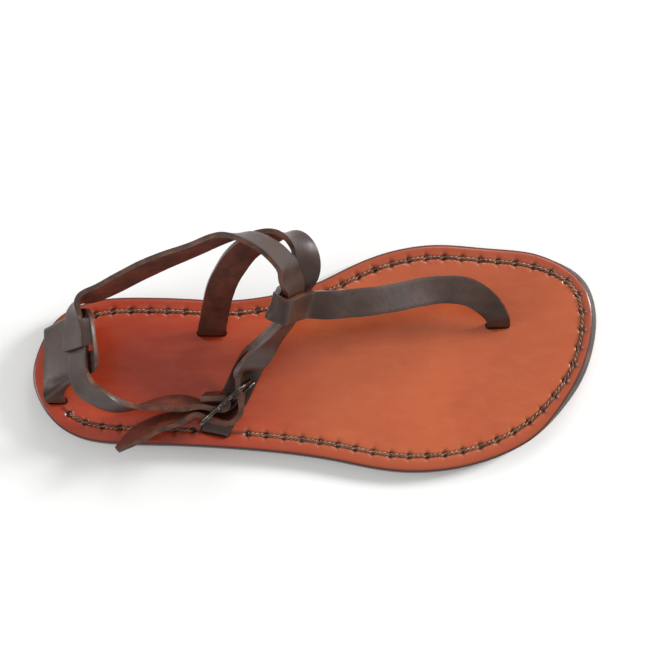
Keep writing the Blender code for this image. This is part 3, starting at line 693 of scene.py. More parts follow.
@dataclass(frozen=True)
class WaxedThread:
    """Twisted linen thread, waxed and handled: warm brown plies with small bright glints."""

    dark: str = "552c1a"
    light: str = "946546"
    glint: str = "a3907d"
    fibre: float = 0.0005
    rub: float = 0.007
    depth: float = 0.00012
    roughness: float = 0.34
    wax: float = 0.4
    wax_roughness: float = 0.2

    def build(self) -> bpy.types.Material:
        """Build the material."""
        make = Shader("linen_thread_waxed")
        fibre = make.noise(self.fibre, 4.0, 0.6)
        worn = make.noise(self.rub, 3.0, 0.6, 2.0)
        base = make.mix(make.spread(worn, 0.35, 0.68), self.dark, self.light)
        colour = make.mix(make.spread(fibre, 0.55, 0.75, 0.0, 0.5), base, self.glint)
        return make.finish(colour, self.roughness, fibre, self.depth, self.wax, self.wax_roughness)


@dataclass(frozen=True)
class DarkenedSteel:
    """Small steel buckle with a dark plated skin, rubbed bright in patches."""

    plate: str = "4b443f"
    rubbed: str = "a9a199"
    rub: float = 0.0028
    depth: float = 0.00008

    def build(self) -> bpy.types.Material:
        """Build the material."""
        make = Shader("buckle_steel_dark_plated")
        wear = make.noise(self.rub, 5.0, 0.65)
        colour = make.mix(make.spread(wear, 0.5, 0.72), self.plate, self.rubbed)
        make.surface.inputs["Metallic"].default_value = 1.0
        return make.finish(colour, make.spread(wear, 0.3, 0.7, 0.34, 0.2), wear, self.depth)


@dataclass(frozen=True)
class PaleFloor:
    """Plain pale paper floor."""

    paper: str = "f6f6f5"
    light: str = "fbfbfa"
    patch: float = 0.3
    roughness: float = 0.85

    def build(self) -> bpy.types.Material:
        """Build the material."""
        make = Shader("pale_paper_floor")
        colour = make.mix(make.noise(self.patch, 2.0), self.paper, self.light)
        return make.finish(colour, self.roughness, None, 0.0)


class Face(Enum):
    """The material slots of a strap."""

    GRAIN = 0
    FLESH = 1
    EDGE = 2


@dataclass
class Finishes:
    """The materials of the sandal, built once and shared."""

    insole: bpy.types.Material = field(default_factory=GlazedInsole().build)
    edge: bpy.types.Material = field(default_factory=BurnishedEdge().build)
    bare: bpy.types.Material = field(default_factory=GroundSide().build)
    grain: bpy.types.Material = field(default_factory=StrapGrain().build)
    flesh: bpy.types.Material = field(default_factory=StrapFlesh().build)
    cut: bpy.types.Material = field(default_factory=CutEdge().build)
    thread: bpy.types.Material = field(default_factory=WaxedThread().build)
    steel: bpy.types.Material = field(default_factory=DarkenedSteel().build)
    floor: bpy.types.Material = field(default_factory=PaleFloor().build)

    def strap(self) -> list[bpy.types.Material]:
        """The materials of a strap in the order of Face."""
        return [self.grain, self.flesh, self.cut]


def new_piece(name: str, mesh: bpy.types.Mesh, materials: Sequence[bpy.types.Material]) -> bpy.types.Object:
    """Link a mesh as a named object.

    Args:
        name: The object's name.
        mesh: Its mesh, in the frame's metres.
        materials: Its material slots.

    Returns:
        The new object.
    """
    for surface in materials:
        mesh.materials.append(surface)
    piece = bpy.data.objects.new(name, mesh)
    bpy.context.scene.collection.objects.link(piece)
    return piece


def mesh_of(shape: bmesh.types.BMesh, name: str, smooth: bool = True) -> bpy.types.Mesh:
    """Turn a worked shape into a named mesh and free it."""
    mesh = bpy.data.meshes.new(name)
    shape.to_mesh(mesh)
    shape.free()
    if smooth:
        mesh.shade_smooth()
    return mesh


def carve(piece: bpy.types.Object, other: bpy.types.Object, operation: str) -> None:
    """Give a piece a boolean with another solid."""
    join = piece.modifiers.new(other.name, "BOOLEAN")
    join.operation = operation
    join.object = other


def settle(piece: bpy.types.Object) -> None:
    """Apply a piece's modifiers to its mesh."""
    bpy.context.view_layer.update()
    graph = bpy.context.evaluated_depsgraph_get()
    mesh = bpy.data.meshes.new_from_object(piece.evaluated_get(graph))
    piece.modifiers.clear()
    piece.data = mesh


def inward_of(line: np.ndarray) -> np.ndarray:
    """Directions into a closed clockwise line at its points."""
    run = np.roll(line, -1, axis=0) - np.roll(line, 1, axis=0)
    run /= np.linalg.norm(run, axis=1)[:, None]
    return np.stack([run[:, 1], -run[:, 0]], axis=1)


def refined(line: np.ndarray, times: int) -> np.ndarray:
    """Split each side of a closed line into equal parts."""
    after = np.roll(line, -1, axis=0)
    shares = np.arange(times) / times
    return (line[:, None] + (after - line)[:, None] * shares[None, :, None]).reshape(-1, 2)


def tree_of(points: np.ndarray) -> KDTree:
    """Sort flat points for finding the nearest one."""
    tree = KDTree(len(points))
    for i, point in enumerate(points):
        tree.insert((*point, 0.0), i)
    tree.balance()
    return tree


def nearest(tree: KDTree, points: np.ndarray) -> tuple[np.ndarray, np.ndarray]:
    """Number and distance of the sorted point that is nearest to each point."""
    found = [tree.find((*point, 0.0)) for point in points]
    return np.array([hit[1] for hit in found]), np.array([hit[2] for hit in found])


@dataclass
class SoleShape:
    """The outline of the sole, its slots and its seam."""

    points: int = 840
    seam_outer: float = 7.4
    seam_inner: float = 6.0
    pitch: float = 8.5
    slot_corner: float = 1.4
    slot_clear: float = 2.4
    seam_split: int = 5
    toe_step: float = 0.0
    toe_span: tuple[float, float] = (232.0, 264.0)

    def __post_init__(self) -> None:
        """Work out the outline, its inward directions and the stitch holes."""
        rows = list(SOLE_EDGE)
        wrapped = rows[-3:] + rows + rows[:4]
        knots = knots_of(wrapped)
        fine = spline(wrapped, knots, np.linspace(knots[3], knots[3 + len(rows)], 4000))
        steps = np.linalg.norm(np.diff(fine, axis=0), axis=1)
        length = np.concatenate(([0.0], np.cumsum(steps)))
        even = np.linspace(0.0, length[-1], self.points, endpoint=False)
        outer = np.stack([np.interp(even, length, fine[:, k]) for k in (0, 1)], axis=1)
        self.inward = inward_of(outer)
        self.seam = outer + self.inward * self.seam_inset(outer)[:, None]
        step = self.toe_step * smoothstep(outer[:, 0], *self.toe_span)
        self.outline = outer + self.inward * step[:, None]
        self.holes = self.stitch_holes()
        self.edge_tree = tree_of(self.outline)
        line = refined(self.seam, self.seam_split)
        self.seam_tree = tree_of(line)
        self.stitched = self.holes[~self.near_slot(self.holes, self.slot_clear)]
        self.hole_tree = tree_of(self.stitched)
        closest, _ = nearest(self.seam_tree, self.stitched)
        run = line[(closest + self.seam_split) % len(line)] - line[closest - self.seam_split]
        self.hole_run = run / np.linalg.norm(run, axis=1)[:, None]

    def seam_inset(self, points: np.ndarray) -> np.ndarray:
        """How far the seam lies inside the edge, less on the big toe's side."""
        x, y = points[:, 0], points[:, 1]
        inner = smoothstep(y, 25.0, 38.0) * (1.0 - smoothstep(x, 228.0, 256.0))
        return self.seam_outer - (self.seam_outer - self.seam_inner) * inner

    def ring(self, inset: float) -> np.ndarray:
        """The outline moved inward by an inset in millimetres."""
        return self.outline + self.inward * inset

    def stitch_holes(self) -> np.ndarray:
        """Space the stitch holes evenly round the seam."""
        closed = np.vstack([self.seam, self.seam[:1]])
        length = np.concatenate(([0.0], np.cumsum(np.linalg.norm(np.diff(closed, axis=0), axis=1))))
        count = int(round(length[-1] / self.pitch))
        at = (np.arange(count) + 0.5) * length[-1] / count
        return np.stack([np.interp(at, length, closed[:, k]) for k in (0, 1)], axis=1)

    def slot_loop(self, slot: Sequence[float], grow: float, count: int = 7) -> np.ndarray:
        """A slot's rounded outline.

        Args:
            slot: A row of SLOTS.
            grow: How much larger it is on every side.
            count: Points in each rounded corner.

        Returns:
            The outline's points, anticlockwise.
        """
        x, y, length, width, turn = slot
        corner = min(self.slot_corner, 0.5 * width - 0.05) + grow
        half = np.array([0.5 * length + grow - corner, 0.5 * width + grow - corner])
        points = []
        for quarter, sides in enumerate(((1, 1), (-1, 1), (-1, -1), (1, -1))):
            angles = np.radians(90.0 * quarter + np.linspace(0.0, 90.0, count))
            points.extend(
                half * sides + corner * np.array([math.cos(a), math.sin(a)]) for a in angles
            )
        angle = math.radians(turn)
        turned = np.array([[math.cos(angle), math.sin(angle)], [-math.sin(angle), math.cos(angle)]])
        return np.array(points) @ turned + (x, y)

    def near_slot(self, points: np.ndarray, margin: float) -> np.ndarray:
        """Say which points lie in a slot or within a margin of it."""
        near = np.zeros(len(points), bool)
        for x, y, length, width, turn in SLOTS:
            angle = math.radians(turn)
            offset = points - (x, y)
            u = offset[:, 0] * math.cos(angle) + offset[:, 1] * math.sin(angle)
            v = offset[:, 1] * math.cos(angle) - offset[:, 0] * math.sin(angle)
            near |= (abs(u) < 0.5 * length + margin) & (abs(v) < 0.5 * width + margin)
        return near

    def edge_distance(self, points: np.ndarray) -> np.ndarray:
        """Distance of points from the layer's edge."""
        return nearest(self.edge_tree, points)[1]

    def seam_gap(self, points: np.ndarray) -> np.ndarray:
        """Distance of points from the seam's line."""
        return nearest(self.seam_tree, points)[1]

    def hole_offset(self, points: np.ndarray) -> tuple[np.ndarray, np.ndarray]:
        """Offset of points from the nearest stitch hole.

        Args:
            points: Places on the sole.

        Returns:
            The offsets along the seam and across it.
        """
        closest, _ = nearest(self.hole_tree, points)
        offset = points - self.stitched[closest]
        run = self.hole_run[closest]
        return (offset * run).sum(axis=1), offset[:, 0] * run[:, 1] - offset[:, 1] * run[:, 0]


def inside(points: np.ndarray, loop: np.ndarray) -> np.ndarray:
    """Say which points lie inside a closed loop, by counting crossings."""
    result = np.zeros(len(points), bool)
    x, y = points[:, 0], points[:, 1]
    for (x1, y1), (x2, y2) in zip(loop, np.roll(loop, -1, axis=0)):
        crosses = (y1 > y) != (y2 > y)
        if crosses.any():
            at = x1 + (y - y1) / (y2 - y1 if y2 != y1 else 1e-9) * (x2 - x1)
            result ^= crosses & (x < at)
    return result


@dataclass
class Slab:
    """One layer of the sole: a sheet of the sole's outline with rounded rims and, if asked, the slots."""

    shape: SoleShape
    rings: Sequence[float]
    cell: float
    with_slots: bool
    span_x: tuple[float, float] = (0.0, 268.0)
    span_y: tuple[float, float] = (-50.0, 62.0)
    slot_rings: tuple[float, float] = (0.35, 0.9)
    slot_margin: float = 1.3
    ring_gap: float = 0.8
    lean_reach: float = 9.0

    def sheet(self) -> tuple[np.ndarray, list]:
        """Triangulate the layer seen from above and give its points and triangles."""
        loops = [self.shape.outline]
        soft = [self.shape.ring(inset) for inset in self.rings]
        if self.with_slots:
            loops += [self.shape.slot_loop(slot, 0.0) for slot in SLOTS]
            soft += [self.shape.slot_loop(slot, grow) for slot in SLOTS for grow in self.slot_rings]
        xs, ys = np.meshgrid(np.arange(*self.span_x, self.cell), np.arange(*self.span_y, self.cell))
        shift = 0.5 * (np.round(ys.ravel() / self.cell) % 2) * self.cell
        grid = np.stack([xs.ravel() + shift, ys.ravel()], axis=1)
        grid = grid[inside(grid, self.shape.ring(self.rings[-1] + self.ring_gap))]
        free = np.vstack(soft[: len(self.rings)] + [grid])
        if self.with_slots:
            free = free[~self.shape.near_slot(free, self.slot_margin)]
            free = np.vstack([free] + soft[len(self.rings) :])
            free = free[inside(free, self.shape.ring(0.05))]
        edges = []
        start = 0
        for loop in loops:
            count = len(loop)
            edges += [(start + i, start + (i + 1) % count) for i in range(count)]
            start += count
        points = np.vstack(loops + [free])
        found = delaunay_2d_cdt([Vector(p) for p in points], edges, [], 0, 1e-5)
        flat = np.array([tuple(p) for p in found[0]])
        faces = np.array(found[2])
        middles = flat[faces].mean(axis=1)
        keep = inside(middles, self.shape.outline)
        for loop in loops[1:]:
            keep &= ~inside(middles, loop)
        return flat, faces[keep].tolist()

    def lean(self, points: np.ndarray, amount: float) -> np.ndarray:
        """Move points near the edge inward at the toe.

        Args:
            points: Places on the layer.
            amount: How far the edge itself moves at the tip of the toe.

        Returns:
            The moved points.
        """
        closest, edge = nearest(self.shape.edge_tree, points)
        share = np.clip(1.0 - edge / self.lean_reach, 0.0, 1.0)
        share *= smoothstep(points[:, 0], *self.shape.toe_span)
        return points + self.shape.inward[closest] * (amount * share)[:, None]

    def build(self, name: str, top: Callable, bottom: Callable, walls: Rows,
              marks: Callable | None = None, toe_lean: float = 0.0) -> bpy.types.Mesh:
        """Make the closed layer.

        Args:
            name: The mesh's name.
            top: Height of the upper side at points.
            bottom: Height of the lower side at points.
            walls: Share of the height and outward step for each line round the side wall.
            marks: Gives the numbers that the upper points carry, by name.
            toe_lean: How far the top of the wall stays behind its foot at the toe.

        Returns:
            The mesh. Its faces have slot 0 above, 1 on the walls and 2 below.
        """
        flat, faces = self.sheet()
        used = sorted({i for face in faces for i in face})
        renumber = {old: new for new, old in enumerate(used)}
        flat = flat[used]
        faces = [[renumber[i] for i in face] for face in faces]
        upper, lower = top(flat), bottom(flat)
        drawn = self.lean(flat, toe_lean) if toe_lean else flat
        shape = bmesh.new()
        above = [shape.verts.new(place((*p, z))) for p, z in zip(drawn, upper)]
        below = [shape.verts.new(place((*p, z))) for p, z in zip(flat, lower)]
        sides = {}
        for face in faces:
            for a, b in zip(face, face[1:] + face[:1]):
                sides[a, b] = sides.get((b, a), 0) + 1
        rim = [(a, b) for a, b in sides if (b, a) not in sides]
        after = dict(rim)
        before = {b: a for a, b in rim}
        lines = {}
        for i in after:
            run = flat[after[i]] - flat[before[i]]
            outward = np.array([run[1], -run[0]]) / max(np.linalg.norm(run), 1e-9)
            column = [above[i]]
            for share, step in walls:
                spot = drawn[i] + (flat[i] - drawn[i]) * share + outward * step
                column.append(shape.verts.new(place((*spot, upper[i] + (lower[i] - upper[i]) * share))))
            lines[i] = column + [below[i]]
        for face in faces:
            shape.faces.new([above[i] for i in face])
            shape.faces.new([below[i] for i in reversed(face)]).material_index = 2
        for a, b in rim:
            for k in range(len(walls) + 1):
                side = (lines[b][k], lines[a][k], lines[a][k + 1], lines[b][k + 1])
                shape.faces.new(side).material_index = 1
        mesh = mesh_of(shape, name)
        if marks:
            for mark, values in marks(flat).items():
                numbers = np.zeros(len(mesh.vertices), np.float32)
                numbers[: len(flat)] = values
                mesh.attributes.new(mark, "FLOAT", "POINT").data.foreach_set("value", numbers)
        return mesh


@dataclass
class Insole:
    """The cognac insole with its slots, stitched groove, burnished rim and the dents of making."""

    shape: SoleShape
    thickness: float = 3.75
    rim_round: float = 0.75
    groove_depth: float = 0.45
    groove_width: float = 1.15
    hole_depth: float = 1.5
    hole_size: tuple[float, float] = (1.35, 1.75)
    # Each pucker beside a notch: along the seam, across it, share of the height.
    puckers_at: Rows = ((1.1, 1.5, 1.0), (-1.2, -1.5, 0.7))
    pucker_width: float = 0.6
    pucker_stretch: float = 1.3
    pucker_height: float = 0.5
    # Folds round the toe slot: how far out, how wide, how much longer along the slot, how high.
    fold_ring: float = 2.6
    fold_width: float = 1.8
    fold_stretch: float = 1.9
    fold_height: float = 0.16
    dent: tuple[float, float] = (173.8, 3.2)
    dent_depth: float = 0.5
    dent_width: float = 1.3
    crease: Rows = ((197.2, -16.0), (200.1, -24.3))
    crease_depth: float = 0.28
    crease_width: float = 0.9
    # Hollows worn by the heel and the ball: x, y, half length, half width, depth.
    hollows: Rows = ((38.0, 0.0, 30.0, 22.0, 0.45), (182.0, 4.0, 38.0, 34.0, 0.4))

    def pits(self, points: np.ndarray) -> np.ndarray:
        """Where the stitch holes are: short notches across the seam."""
        run, across = self.shape.hole_offset(points)
        return bell(np.hypot(run / self.hole_size[0], across / self.hole_size[1]), 1.0)

    def puckers(self, points: np.ndarray) -> np.ndarray:
        """Where the leather is pushed up at both ends of each notch."""
        run, across = self.shape.hole_offset(points)
        total = np.zeros(len(points))
        for ahead, aside, share in self.puckers_at:
            far = np.hypot((run - ahead) / self.pucker_stretch, across - aside)
            total += share * bell(far, self.pucker_width)
        return total

    def slot_puckers(self, points: np.ndarray) -> np.ndarray:
        """Radial folds where the toe strap pulls at its slot."""
        x, y = SLOTS[0][:2]
        offset = points - (x, y)
        far = np.hypot(offset[:, 0] / self.fold_stretch, offset[:, 1])
        angle = np.arctan2(offset[:, 1], offset[:, 0])
        fold = 0.5 + 0.5 * np.sin(13.0 * angle + 1.2 * np.sin(3.0 * angle))
        return fold * bell(far - self.fold_ring, self.fold_width)

    def top(self, points: np.ndarray) -> np.ndarray:
        """Height of the upper side with its relief."""
        edge = self.shape.edge_distance(points)
        height = seat(points[:, 0]) - self.rim_round * (1.0 - smoothstep(edge, -0.3, 1.3))
        height -= self.groove_depth * bell(self.shape.seam_gap(points), self.groove_width)
        height -= self.hole_depth * self.pits(points)
        height += self.pucker_height * self.puckers(points)
        height += self.fold_height * self.slot_puckers(points)
        height -= self.dent_depth * bell(np.linalg.norm(points - self.dent, axis=1), self.dent_width)
        start, end = np.array(self.crease)
        run = end - start
        t = np.clip((points - start) @ run / (run @ run), 0.0, 1.0)
        far = np.linalg.norm(points - start - t[:, None] * run, axis=1)
        height -= self.crease_depth * bell(far, self.crease_width)
        for x, y, length, width, depth in self.hollows:
            height -= depth * bell(points[:, 0] - x, length) * bell(points[:, 1] - y, width)
        return height

    def marks(self, points: np.ndarray) -> dict[str, np.ndarray]:
        """The numbers that the surface carries for its colours."""
        edge = self.shape.edge_distance(points)
        lateral = smoothstep(-points[:, 1], -10.0, 25.0)
        beside = 1.0 - smoothstep(edge, 2.0, 7.5)
        return {
            "rim": 1.0 - smoothstep(edge, 0.25, 0.95 + 0.45 * lateral),
            "border": 0.45 * beside,
            "groove": bell(self.shape.seam_gap(points), self.groove_width),
            # Where the stitch holes get their painted shade.
            "pit_shade": np.clip(1.15 * self.pits(points), 0.0, 1.0),
            # Where the puckers get their painted glints.
            "pucker": np.clip(0.5 * self.puckers(points), 0.0, 0.5),
            # Share of the forefoot tone, which is partly a painted sheen.
            "forefoot": smoothstep(points[:, 0], 70.0, 150.0),
        }

    def build(self, finishes: Finishes) -> bpy.types.Object:
        """Build the insole in place of its CAD node."""
        seam = self.shape.seam_inner, self.shape.seam_outer
        rings = [0.3, 0.7, 1.2, 2.2, 3.6, 4.7]
        rings += list(np.arange(seam[0] - 0.7, seam[1] + 1.2, 0.45))
        rings += [seam[1] + 2.0, seam[1] + 3.2]
        slab = Slab(self.shape, rings, 2.4, True)
        mesh = slab.build(
            "insole_glazed",
            self.top,
            lambda points: seat(points[:, 0]) - self.thickness,
            ((0.12, 0.12), (0.5, 0.2), (0.88, 0.12)),
            self.marks,
        )
        piece = new_piece("insole_glazed", mesh, [finishes.insole, finishes.edge, finishes.bare])
        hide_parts("insole")
        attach(piece, BODY)
        return piece


@dataclass
class Outsole:
    """The leather outsole with its low heel, burnished wall and stitched ground side."""

    shape: SoleShape
    insole_thickness: float = 3.8
    toe_lean: float = 2.8
    groove_depth: float = 1.6
    groove_width: float = 1.1

    def bottom(self, points: np.ndarray) -> np.ndarray:
        """Height of the ground side with its rounded rim and stitch groove."""
        edge = self.shape.edge_distance(points)
        height = ground(points[:, 0]) + 0.7 * (1.0 - smoothstep(edge, -0.2, 1.2))
        return height + self.groove_depth * bell(self.shape.seam_gap(points), self.groove_width)

    def build(self, finishes: Finishes) -> bpy.types.Object:
        """Build the outsole in place of its CAD node."""
        seam = self.shape.seam_inner, self.shape.seam_outer
        rings = [0.3, 0.7, 1.2, 2.6]
        rings += list(np.arange(seam[0] - 1.2, seam[1] + 1.6, 0.8))
        rings += [seam[1] + 3.0]
        slab = Slab(self.shape, rings, 2.8, False)
        mesh = slab.build(
            "outsole_burnished",
            lambda points: seat(points[:, 0]) - self.insole_thickness,
            self.bottom,
            ((0.06, 0.25), (0.3, 0.3), (0.42, 0.12), (0.5, 0.3), (0.8, 0.2)),
            toe_lean=self.toe_lean,
        )
        piece = new_piece("outsole_burnished", mesh, [finishes.edge, finishes.edge, finishes.bare])
        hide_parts("outsole")
        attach(piece, BODY)
        return piece


@dataclass
class Seam:
    """The hand-sewn seam: two twisted plies from hole to hole, above and below the sole."""

    shape: SoleShape
    ply: float = 0.52
    turn_radius: float = 0.46
    turns: float = 1.9
    steps: int = 26
    sides: int = 7
    sunk: float = 0.9
    proud: float = 0.25
    bed_above: float = 0.35
    bed_below: float = 0.95

    def stitch_line(self, first: np.ndarray, second: np.ndarray, surface: Callable,
                    upward: float) -> np.ndarray:
        """The middle line of one stitch.

        Args:
            first: Its first hole.
            second: Its second hole.
            surface: Height of the leather at points.
            upward: 1 above the sole and -1 below it.

        Returns:
            The line's points in table millimetres.
        """
        t = np.linspace(0.0, 1.0, self.steps)
        flat = first + (second - first) * t[:, None]
        arch = smoothstep(np.minimum(t, 1.0 - t), 0.06, 0.24)
        height = surface(flat) + upward * (-self.sunk + (self.sunk + self.proud) * arch)
        return np.column_stack([flat, height])

    def add_ply(self, shape: bmesh.types.BMesh, line: np.ndarray, phase: float) -> None:
        """Add one ply that winds round a stitch's line."""
        run = np.gradient(line, axis=0)
        run /= np.linalg.norm(run, axis=1)[:, None]
        side = np.cross(run, (0.0, 0.0, 1.0))
        side /= np.linalg.norm(side, axis=1)[:, None]
        rise = np.cross(side, run)
        angle = phase + 2.0 * math.pi * self.turns * np.linspace(0.0, 1.0, len(line))
        middle = line + self.turn_radius * (
            side * np.cos(angle)[:, None] + rise * np.sin(angle)[:, None]
        )
        rings = []
        for spot, across, up in zip(middle, side, rise):
            ring = []
            for k in range(self.sides):
                a = 2.0 * math.pi * k / self.sides
                outward = across * math.cos(a) + up * math.sin(a)
                ring.append(shape.verts.new(place(spot + self.ply * outward)))
            rings.append(ring)
        for one, two in zip(rings, rings[1:]):
            for k in range(self.sides):
                n = (k + 1) % self.sides
                shape.faces.new((one[k], one[n], two[n], two[k]))
        shape.faces.new(rings[0][::-1])
        shape.faces.new(rings[-1])

    def build(self, name: str, surface: Callable, upward: float, finishes: Finishes) -> bpy.types.Object:
        """Build every stitch of one side as one mesh.

        Args:
            name: The piece's name.
            surface: Height of the leather at points.
            upward: 1 above the sole and -1 below it.
            finishes: The sandal's materials.

        Returns:
            The piece.
        """
        shape = bmesh.new()
        holes = self.shape.holes
        clear = self.shape.slot_clear
        near = self.shape.near_slot(holes, clear) if upward > 0 else np.zeros(len(holes), bool)
        for i, hole in enumerate(holes):
            after = (i + 1) % len(holes)
            middle = 0.5 * (hole + holes[after])
            if near[i] or near[after]:
                continue
            if upward > 0 and self.shape.near_slot(middle[None], clear)[0]:
                continue
            line = self.stitch_line(hole, holes[after], surface, upward)
            for phase in (0.0, math.pi):
                self.add_ply(shape, line, phase + 0.7 * i)
        bmesh.ops.recalc_face_normals(shape, faces=shape.faces[:])
        piece = new_piece(name, mesh_of(shape, name), [finishes.thread])
        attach(piece, BODY)
        return piece


def square(lead: Sequence[float], side: Sequence[float]) -> tuple[Vector, Vector, Vector]:
    """Turn two directions into three at right angles: the lead, the side and outward."""
    first = Vector(lead).normalized()
    second = Vector(side)
    second = (second - first * second.dot(first)).normalized()
    return first, second, first.cross(second)


def buckle_place(forward: float, across: float, out: float = 0.0) -> Vector:
    """A place in the buckle's own directions, in the frame."""
    first, second, third = square(BUCKLE_ALONG, BUCKLE_ACROSS)
    return place(Vector(BUCKLE_MIDDLE) + first * forward + second * across + third * out)


def buckle_row(row: Sequence[float]) -> tuple[float, ...]:
    """Turn a row in the buckle's own directions into a strap row."""
    forward, out, lean, width = row
    first, second, third = square(BUCKLE_ALONG, BUCKLE_ACROSS)
    middle = Vector(BUCKLE_MIDDLE) + first * forward + third * out
    edge = second * math.sqrt(1.0 - lean * lean) + third * lean
    return (*middle, *edge, width)


def loop_row(row: Sequence[float]) -> tuple[float, ...]:
    """Turn a row in the bundle's own directions into a strap row of the toe strap."""
    side, run, up, tilt, skew, width = row
    heading, across, normal = square(BUNDLE_RUN, BUNDLE_ACROSS)
    middle = Vector(LOOP_MIDDLE) + across * side + heading * run + normal * up
    edge = (normal * tilt - across * skew - heading).normalized()
    return (*middle, *edge, width)


def bundle_row(row: Sequence[float]) -> tuple[float, ...]:
    """Turn a row of a strap that passes through the loop into a strap row."""
    side, run, up, tilt, width = row
    heading, across, normal = square(BUNDLE_RUN, BUNDLE_ACROSS)
    middle = Vector(LOOP_MIDDLE) + across * side + heading * run + normal * up
    edge = (normal * tilt - across).normalized()
    return (*middle, *edge, width)


@dataclass
class Ribbon:
    """A leather strap with a grain side, a flesh side and rounded cut edges."""

    name: str
    node: str
    rows: Rows
    thickness: float = 2.4
    spacing: float = 1.5
    turn: float = 4.0
    columns: int = 8
    round: float = 0.42
    waver: float = 0.10

    def places(self, knots: np.ndarray) -> np.ndarray:
        """Places along the strap, closer together where it bends."""
        fine = np.linspace(knots[0], knots[-1], 60 * len(self.rows))
        run = np.diff(spline(self.rows, knots, fine)[:, :3], axis=0)
        length = np.linalg.norm(run, axis=1)
        heading = run / length[:, None]
        angle = np.arccos(np.clip((heading[1:] * heading[:-1]).sum(axis=1), -1.0, 1.0))
        cost = length / self.spacing
        cost[1:] += np.degrees(angle) / (2.0 * self.turn)
        total = np.concatenate(([0.0], np.cumsum(cost)))
        return np.interp(np.linspace(0.0, total[-1], int(math.ceil(total[-1])) + 1), total, fine)

    def sheet(self) -> bpy.types.Mesh:
        """Make the strap's middle surface."""
        knots = knots_of(self.rows)
        at = self.places(knots)
        points = spline(self.rows, knots, at)
        shape = bmesh.new()
        lines = []
        for i, row in enumerate(points):
            run = Vector(points[min(i + 1, len(points) - 1)][:3] - points[max(i - 1, 0)][:3]).normalized()
            edge = Vector(row[3:6])
            edge = (edge - run * edge.dot(run)).normalized()
            half = 0.5 * row[6] + self.waver * math.sin(at[i] * 0.31) * math.sin(at[i] * 0.083 + 1.0)
            middle = Vector(row[:3])
            shares = np.linspace(-1.0, 1.0, self.columns)
            lines.append([shape.verts.new(place(middle + edge * half * share)) for share in shares])
        for first, second in zip(lines, lines[1:]):
            for a, b, c, d in zip(first, first[1:], second[1:], second):
                shape.faces.new((a, b, c, d))
        return mesh_of(shape, self.name)

    def thicken(self, piece: bpy.types.Object) -> None:
        """Give the sheet its thickness, with the flesh side and the cut edges in their own slots."""
        solid = piece.modifiers.new("thickness", "SOLIDIFY")
        solid.thickness = self.thickness * MM
        solid.offset = 0.0
        solid.use_even_offset = True
        solid.material_offset = Face.FLESH.value
        solid.material_offset_rim = Face.EDGE.value

    def soften(self, piece: bpy.types.Object) -> None:
        """Round the cut edges."""
        edge = piece.modifiers.new("rounded_edges", "BEVEL")
        edge.width = self.round * MM
        edge.segments = 3
        edge.limit_method = "ANGLE"
        edge.angle_limit = math.radians(50.0)

    def build(self, finishes: Finishes, cutters: Sequence[bpy.types.Object] = ()) -> bpy.types.Object:
        """Build the strap in place of its CAD node.

        Args:
            finishes: The sandal's materials.
            cutters: Solids cut out of the strap, which are removed afterwards.

        Returns:
            The strap.
        """
        piece = new_piece(self.name, self.sheet(), finishes.strap())
        self.thicken(piece)
        for cutter in cutters:
            carve(piece, cutter, "DIFFERENCE")
        self.soften(piece)
        settle(piece)
        for cutter in cutters:
            bpy.data.objects.remove(cutter, do_unlink=True)
        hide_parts(self.node)
        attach(piece, BODY)
        return piece


